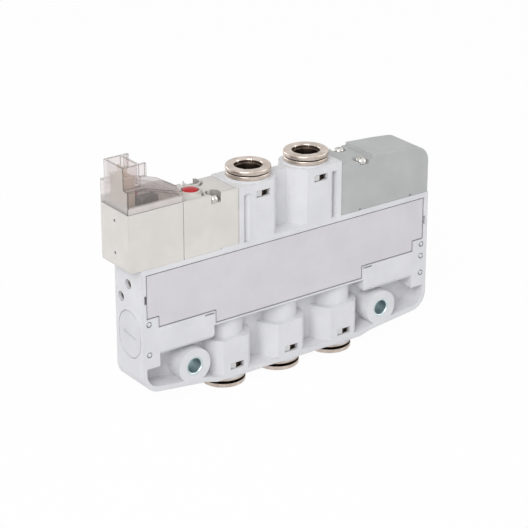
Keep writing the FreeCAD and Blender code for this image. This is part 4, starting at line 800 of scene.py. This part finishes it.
@dataclass
class TubeFitting:
    """A push-in fitting: collar, release ring, clip, toothed gripping ring and seal.

    The round pieces are turned once, and copied to the ports that repeat the fitting.
    """

    port: str
    repeats: tuple[str, ...] = ()
    segments: int = 120
    edge: float = 0.1 * MM
    # How far the collar's lip is from the mouth, in millimetres.
    lower_gap: float = 2.2
    upper_gap: float = 1.75
    # The ring's mouth is what lies within this radius and this depth; notches are cut in it.
    mouth_radius: float = 4.7 * MM
    mouth_depth: float = 0.6 * MM
    notches: int = 6
    first_notch: float = 37.0
    notch_span: float = 7.0
    notch_depth: float = 0.5 * MM
    # The gripping ring's inner edge is spread between its teeth.
    teeth: int = 12
    tooth_root: float = 4.6 * MM
    tooth_gap: float = 0.45
    tooth_spread: float = 1.16

    def __post_init__(self) -> None:
        """Find the fitting's axis, mouth and direction from its release ring."""
        low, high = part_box(f"release_ring_{self.port}")
        down = MOUNTS[f"port_{self.port}"]["axis"][2] < 0
        self.mouth = Vector(((low.x + high.x) / 2, (low.y + high.y) / 2, low.z if down else high.z))
        self.sign = 1 if down else -1
        self.gap = self.lower_gap if down else self.upper_gap
        self.nickel = NickelPlate(f"nickel_plated_brass_{self.port}", "#CFC3BA", "#B4A79C",
                                  (self.mouth.x, self.mouth.y))

    def station(self, *corners: Pair) -> list[Pair]:
        """Turn (radius, depth) corners in millimetres into a profile from the mouth inwards."""
        return [(radius * MM, self.sign * depth * MM) for radius, depth in corners]

    def build(self) -> None:
        """Turn the round pieces, repeat them at the other ports, and dress every fitting."""
        shapes = {"push_ring": self.release_ring(), "nickel_collar": self.collar(),
                  "toothed_ring": self.gripping_ring()}
        for port in self.repeats:
            other = TubeFitting(port)
            offset = other.mouth - self.mouth
            other.finish(*(own_copy(shape, f"{kind}_{port}", offset)
                           for kind, shape in shapes.items()))
        self.finish(*shapes.values())

    def release_ring(self) -> Piece:
        """Turn the ring that is pushed in to let the tube go, and cut the notches in its mouth.

        Returns:
            The ring.
        """
        ring = turned(f"push_ring_{self.port}", self.mouth, self.station(
            (4.62, 0.0), (4.9, 0.0), (6.8, 0.0), (7.08, 0.1), (7.2, 0.35), (7.2, 1.4), (5.0, 1.4),
            (5.0, 6.8), (4.35, 7.4), (4.15, 7.4), (4.15, 1.35), (4.44, 1.1), (4.44, 0.4)), self.segments)
        step = 2 * math.pi / self.notches
        with editing(ring, all_selected=False):
            mesh = bmesh.from_edit_mesh(ring.data)
            for vert in mesh.verts:
                arm = vert.co - self.mouth
                turn = (math.atan2(arm.y, arm.x) - math.radians(self.first_notch)) % step
                in_mouth = arm.xy.length < self.mouth_radius and abs(arm.z) < self.mouth_depth
                vert.select_set(in_mouth and turn < math.radians(self.notch_span))
            bmesh.update_edit_mesh(ring.data)
            bpy.ops.transform.translate(value=(0, 0, self.sign * self.notch_depth))
        round_edges(ring, self.edge, sharper_than=40)
        return ring

    def collar(self) -> Piece:
        """Turn the collar that stands out of the boss, with its clip groove and grip chamber.

        Returns:
            The collar.
        """
        collar = turned(f"nickel_collar_{self.port}", self.mouth, self.station(
            (5.1, self.gap), (6.95, self.gap), (7.15, self.gap + 0.2), (7.15, 3.1), (6.6, 3.1),
            (6.6, 6.55), (6.1, 6.55), (6.1, 8.45), (6.6, 8.45), (6.6, 13.0), (5.4, 13.0), (5.4, 9.2),
            (5.1, 9.2)), self.segments)
        round_edges(collar, self.edge)
        return collar

    def gripping_ring(self) -> Piece:
        """Turn the sprung ring and spread every other stretch of its inner edge, which leaves teeth.

        Returns:
            The ring.
        """
        ring = turned(f"toothed_ring_{self.port}", self.mouth, self.station(
            (5.4, 9.2), (5.4, 9.7), (4.2, 10.6), (4.2, 10.1)), self.teeth * 8)
        step = 2 * math.pi / self.teeth
        with editing(ring, all_selected=False):
            mesh = bmesh.from_edit_mesh(ring.data)
            for vert in mesh.verts:
                arm = vert.co - self.mouth
                turn = math.atan2(arm.y, arm.x) % step
                vert.select_set(arm.xy.length < self.tooth_root and turn < step * self.tooth_gap)
            bmesh.update_edit_mesh(ring.data)
            spread = (self.tooth_spread, self.tooth_spread, 1)
            bpy.ops.transform.resize(value=spread, center_override=self.mouth)
        return ring

    def finish(self, ring: Piece, collar: Piece, grip: Piece) -> None:
        """Dress this port's turned pieces, and its clip and seal, whose shapes are the frame's.

        Args:
            ring: The release ring.
            collar: The collar.
            grip: The gripping ring.
        """
        self.paint_inner_shade(ring, 4.56, 1.35)
        dress(ring, f"release_ring_{self.port}")
        self.paint_inner_shade(collar, 5.3, self.gap + 0.3)
        dress(collar, f"fitting_collar_{self.port}")
        clip = merged_copy(f"retaining_clip_{self.port}", f"spring_clip_{self.port}")
        round_edges(clip, self.edge)
        dress(clip, f"retaining_clip_{self.port}", SPRING_STEEL)
        dress(grip, f"chuck_{self.port}", SPRING_STEEL)
        paint(f"tube_seal_{self.port}", RUBBER)

    def paint_inner_shade(self, piece: Piece, bore: float, depth: float) -> None:
        """Paint the deep surfaces, where shade falls inside the fitting, a dark brown as painted shade.

        Args:
            piece: The turned piece.
            bore: Faces within this radius in millimetres are dark, half a millimetre below the mouth.
            depth: So are those deeper than this from the mouth that aren't at the outer edge.
        """
        give_finishes(piece, self.nickel, NICKEL_PAINTED_SHADE)
        for face in piece.data.polygons:
            arm = face.center - self.mouth
            radius, inwards = arm.xy.length / MM, self.sign * arm.z / MM
            if (radius < bore and inwards > 0.5) or (inwards > depth and radius < 7.0):
                face.material_index = 1


@dataclass
class ScrewPair:
    """A small pan-head screw with a cross recess, and its copy behind it."""

    node: str
    name: str
    # How much higher the head is than the plain one that it replaces.
    rise: float
    head_radius: float = 1.75 * MM
    plain_height: float = 1.2 * MM
    # The head's outline from its rim to its top, as shares of its radius and height.
    dome: tuple[Pair, ...] = ((1.0, 0.45), (0.93, 0.72), (0.72, 0.93), (0.4, 1.0))
    shank_radius: float = 0.8 * MM
    shank_chamfer: float = 0.3 * MM
    recess_width: float = 0.5 * MM
    recess_depth: float = 0.75 * MM
    recess_turns: Pair = (35.0, 125.0)
    recess_taper: Triple = (0.3, 0.8, 1.0)
    segments: int = 48

    def build(self) -> None:
        """Turn one screw, sink its cross, copy it and join the two."""
        low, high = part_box(self.node)
        radius, height = self.head_radius, self.plain_height + self.rise
        shank, chamfer = self.shank_radius, self.shank_chamfer
        seat = Vector(((low.x + high.x) / 2, low.y + radius, high.z - self.plain_height))
        length = seat.z - low.z
        outline = [(AXIS_HOLE, -length), (shank - chamfer, -length), (shank, chamfer - length),
                   (shank, 0.0), (radius, 0.0)]
        outline += [(radius * out, height * up) for out, up in self.dome] + [(AXIS_HOLE, height)]
        front = turned(self.name, seat, outline, self.segments)
        blade = (radius * 1.25, self.recess_width, self.recess_depth * 4)
        top = seat + Vector((0, 0, height + self.recess_depth))
        for turn in self.recess_turns:
            sink_blade(front, top, blade, (0.0, 0.0, turn), self.recess_taper)
        back = own_copy(front, self.name + "_back", (0, high.y - low.y - 2 * radius, 0))
        select_only(front)
        back.select_set(True)
        bpy.ops.object.join()
        dress(front, self.node, SCREW_STEEL)


@dataclass
class Pilot:
    """The adapter block with its screws, and the override button with its spring."""

    screw_rise: float = 0.85 * MM
    well_radius: float = 2.6 * MM
    well_depth: float = 4.0 * MM
    button_edge: float = 0.2 * MM
    button_proud: float = 0.5 * MM
    groove_height: float = 2.9 * MM
    groove_depth: float = 0.6 * MM
    groove_width: float = 1.2 * MM
    # The button's crown, as shares of its radius and heights above its rim.
    crown: tuple[Pair, ...] = ((0.7, 0.3 * MM), (0.35, 0.45 * MM))
    crown_height: float = 0.5 * MM

    def build(self) -> None:
        """Make every piece of the group."""
        block = merged_copy("pilot_adapter", "adapter_housing")
        # The wells' upright walls take the second slot, which is painted shade.
        give_finishes(block, HOUSING_RESIN, WELL_PAINTED_SHADE)
        give_slot(block, 1, self.in_well)
        dress(block, "pilot_adapter")
        self.button()
        ScrewPair("adapter_screws", "adapter_cross_screws", self.screw_rise).build()
        soft_spring("override_spring", "button_return_spring")

    def in_well(self, face: bpy.types.MeshPolygon) -> bool:
        """Tell whether a face is on the upright wall of one of the two screw wells.

        Args:
            face: A face of the adapter.

        Returns:
            Whether it is.
        """
        low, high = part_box("adapter_screws")
        if abs(face.normal.z) >= 0.3 or abs(face.normal.y) >= 0.98:
            return False
        head = ScrewPair.head_radius
        across = min(abs(face.center.y - low.y), abs(face.center.y - high.y))
        near = math.hypot(face.center.x - (low.x + high.x) / 2, max(0.0, across - 2 * head))
        return (near < self.well_radius and across < self.well_radius + head
                and face.center.z > high.z - self.well_depth)

    def button(self) -> None:
        """Turn the button with its seal groove and its rounded top."""
        low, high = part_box("override_button")
        centre = Vector(((low.x + high.x) / 2, (low.y + high.y) / 2, low.z))
        radius, rim = (high.x - low.x) / 2, high.z - low.z + self.button_proud
        groove, waist = self.groove_height, radius - self.groove_depth
        above = groove + self.groove_width
        side = [(AXIS_HOLE, 0.0), (radius, 0.0), (radius, groove), (waist, groove), (waist, above),
                (radius, above), (radius, rim)]
        crown = [(radius * out, rim + up) for out, up in self.crown]
        button = turned("red_button", centre, side + crown + [(AXIS_HOLE, rim + self.crown_height)])
        round_edges(button, self.button_edge, sharper_than=60, segments=3)
        dress(button, "override_button", BUTTON_RESIN)


@dataclass
class Coil:
    """The coil housing with its mould marks, and the plunger's spring."""

    # The end's two mould marks, counted from the housing's lowest corner.
    mark_reach: float = 0.5 * MM
    mark_depth: Pair = (0.01 * MM, 0.4 * MM)
    mark_middle: float = 7.5 * MM
    mark_rows: Pair = (4.8 * MM, 15.2 * MM)

    def in_mark(self, place: Vector) -> bool:
        """Tell whether a place is in one of the mould marks.

        Args:
            place: The place, counted from the housing's lowest corner.

        Returns:
            Whether it is.
        """
        return (self.mark_depth[0] < place.x < self.mark_depth[1]
                and abs(place.y - self.mark_middle) < self.mark_reach
                and min(abs(place.z - row) for row in self.mark_rows) < self.mark_reach)

    def build(self) -> None:
        """Make every piece of the group."""
        housing = merged_copy("coil_housing", "coil_casing")
        give_finishes(housing, HOUSING_RESIN, MARK_PAINTED_SHADE)
        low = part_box("coil_housing")[0]
        # The faces of the mould marks' shallow recesses take painted shade.
        give_slot(housing, 1, lambda face: self.in_mark(face.center - low))
        dress(housing, "coil_housing")
        soft_spring("armature_spring", "plunger_spring")


@dataclass
class PlugCover:
    """The see-through cover with its socket, and the board and pins under it."""

    edge: float = 0.18 * MM
    # The misted end wall lies this close to the cover's end, and the slope this far below its top.
    misted_depth: float = 2.0 * MM
    header_edge: float = 0.2 * MM
    suppressor_edge: float = 0.3 * MM
    pin_edge: float = 0.08 * MM
    pin_rim: float = 0.12 * MM

    def build(self) -> None:
        """Make every piece of the group."""
        self.cover()
        dress(merged_copy("circuit_board", "lamp_board"), "circuit_board", BOARD)
        header = merged_copy("pin_header", "socket_header")
        round_edges(header, self.header_edge)
        dress(header, "pin_header", HEADER_RESIN)
        self.pins()
        suppressor = merged_copy("surge_suppressor", "suppressor_block")
        round_edges(suppressor, self.suppressor_edge, segments=3)
        dress(suppressor, "surge_suppressor", COMPONENT_RESIN)

    def cover(self) -> None:
        """Round the clear cover, with its misted end wall and slope, and its rounded edges denser and
        darkened with painted shade.
        """
        cover = merged_copy("connector_cover", "clear_cover")
        give_finishes(cover, CLEAR_RESIN, CLEAR_EDGE_PAINTED_SHADE, CLEAR_END, CLEAR_SLOPE)
        low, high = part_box("connector_cover")
        end, top = low.x + self.misted_depth, high.z - self.misted_depth
        give_slot(cover, 2, lambda face: face.normal.x < -0.9 and face.center.x < end)
        give_slot(cover, 3, lambda face: face.normal.z > 0.3 and face.center.z < top)
        round_edges(cover, self.edge, slot=1)
        dress(cover, "connector_cover")

    def pins(self) -> None:
        """Copy the three pins, with a rim on each end that keeps its rounding small."""
        pins = merged_copy("contact_pins", "tinned_pins")
        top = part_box("contact_pins")[1].z - MM
        with editing(pins, all_selected=False):
            select_faces(pins, lambda face: face.normal.z > 0.5 and face.calc_center_median().z > top)
            bpy.ops.mesh.inset(thickness=self.pin_rim, depth=0.0, use_individual=True)
        round_edges(pins, self.pin_edge)
        dress(pins, "contact_pins", CONTACT_TIN)


@dataclass
class EndCover:
    """The greenish-grey cover at the valve's far end, with its screws."""

    edge: float = 0.2 * MM
    edge_share: float = 0.2
    screw_rise: float = 0.4 * MM

    def build(self) -> None:
        """Make every piece of the group."""
        cover = merged_copy("end_cover", "end_housing")
        round_edges(cover, self.edge, segments=3, share=self.edge_share)
        dress(cover, "end_cover", END_RESIN)
        ScrewPair("cover_screws", "cover_cross_screws", self.screw_rise).build()


class Lamp(Enum):
    """The studio's soft boxes: place in metres, size in metres and power in watts."""

    KEY = ((-0.7, -0.55, 0.62), 0.6, 6.9)
    FILL = ((0.75, -0.55, 0.4), 0.7, 2.2)
    TOP = ((0.05, 0.1, 0.95), 0.8, 1.2)
    BACK = ((-0.35, 0.9, 0.12), 0.5, 2.4)


@dataclass
class Studio:
    """Pale floor, white surround, soft lamps and the camera."""

    eye: Vector = field(default_factory=lambda: Vector((-374.3, -505.4, 306.1)) * MM)
    target: Vector = field(default_factory=lambda: Vector((-3.21, 2.57, 34.21)) * MM)
    focal_pixels: float = 2150.0
    image_pixels: float = 528.0
    sensor_width: float = 36.0
    view_depth: float = 20.0
    floor_half: float = 4.0
    floor_drop: float = 0.02 * MM
    # Share of the floor that the eye sees as plain white; the rest keeps the shadow.
    floor_white: float = 0.97
    world_light: float = 0.37

    def build(self) -> None:
        """Set the stage, the light and the camera."""
        bpy.context.scene.view_settings.view_transform = "Standard"
        self.floor()
        self.surround()
        self.lamps()
        self.camera()

    def seen(self, tree: Tree) -> Socket:
        """Tell the rays that the eye sees from those that only light.

        Args:
            tree: The node tree.

        Returns:
            1 for a ray from the eye, straight, mirrored or through clear resin, and 0 for others.
        """
        path = add_node(tree, "LightPath")
        seen = path.outputs["Is Camera Ray"]
        for ray in ("Is Glossy Ray", "Is Transmission Ray"):
            either = add_node(tree, "Math", {"operation": "MAXIMUM"}, {0: seen, 1: path.outputs[ray]})
            seen = either.outputs["Value"]
        return seen

    def floor(self) -> None:
        """Lay a wide pale floor that keeps a soft shadow and reads as white to the camera."""
        deselect_all()
        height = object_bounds()[0][2] - self.floor_drop
        bpy.ops.mesh.primitive_plane_add(size=2 * self.floor_half, location=(0, 0, height))
        plane = bpy.context.object
        plane.name = "studio_floor"
        made = bpy.data.materials.new("pale_floor")
        made.use_nodes = True
        tree = made.node_tree
        tree.nodes.clear()
        paper = add_node(tree, "BsdfDiffuse", {"Color": linear("#ECECED")})
        white = add_node(tree, "Emission", {"Color": linear("#FFFFFF"), "Strength": 1.0})
        share = add_node(tree, "Math", {"operation": "MULTIPLY", 1: self.floor_white}, {0: self.seen(tree)})
        mix = add_node(tree, "MixShader", links={"Fac": share.outputs["Value"],
                                                 1: paper.outputs["BSDF"], 2: white.outputs["Emission"]})
        add_node(tree, "OutputMaterial", links={"Surface": mix.outputs["Shader"]})
        plane.data.materials.append(made)
        plane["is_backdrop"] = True

    def surround(self) -> None:
        """Set a world that is white to the camera and in reflections, and softer as light."""
        world = bpy.data.worlds.new("soft_surround")
        bpy.context.scene.world = world
        world.use_nodes = True
        tree = world.node_tree
        tree.nodes.clear()
        soft = add_node(tree, "Background",
                        {"Color": linear("#F4F5F7"), "Strength": self.world_light})
        white = add_node(tree, "Background", {"Color": linear("#FFFFFF"), "Strength": 1.0})
        mix = add_node(tree, "MixShader", links={"Fac": self.seen(tree), 1: soft.outputs["Background"],
                                                 2: white.outputs["Background"]})
        add_node(tree, "OutputWorld", links={"Surface": mix.outputs["Shader"]})

    def lamps(self) -> None:
        """Add the soft boxes, which face the object."""
        for lamp in Lamp:
            place, size, power = lamp.value
            light = bpy.data.lights.new(f"{lamp.name.lower()}_lamp", "AREA")
            light.size = size
            light.energy = power
            box = bpy.data.objects.new(light.name, light)
            bpy.context.scene.collection.objects.link(box)
            box.location = place
            box.rotation_euler = (self.target - Vector(place)).to_track_quat("-Z", "Y").to_euler()

    def camera(self) -> None:
        """Place the camera where the photograph was taken from."""
        scene = bpy.context.scene
        data = bpy.data.cameras.new("camera")
        data.sensor_width = self.sensor_width
        data.lens = self.focal_pixels / self.image_pixels * data.sensor_width
        data.clip_end = self.view_depth
        camera = bpy.data.objects.new("camera", data)
        scene.collection.objects.link(camera)
        camera.location = self.eye
        camera.rotation_euler = (self.target - self.eye).to_track_quat("-Z", "Y").to_euler()
        scene.camera = camera


def main() -> None:
    """Build the object group by group, then the studio."""
    logging.basicConfig(level=logging.INFO, format="%(name)s: %(message)s")
    BodyMoulding().build()
    TubeFitting("a", repeats=("b",)).build()
    TubeFitting("ea", repeats=("p", "eb")).build()
    Pilot().build()
    Coil().build()
    PlugCover().build()
    EndCover().build()
    for node, finish in KEPT_SHAPES.items():
        paint(node, finish)
    Studio().build()


if __name__ == "__main__":
    main()
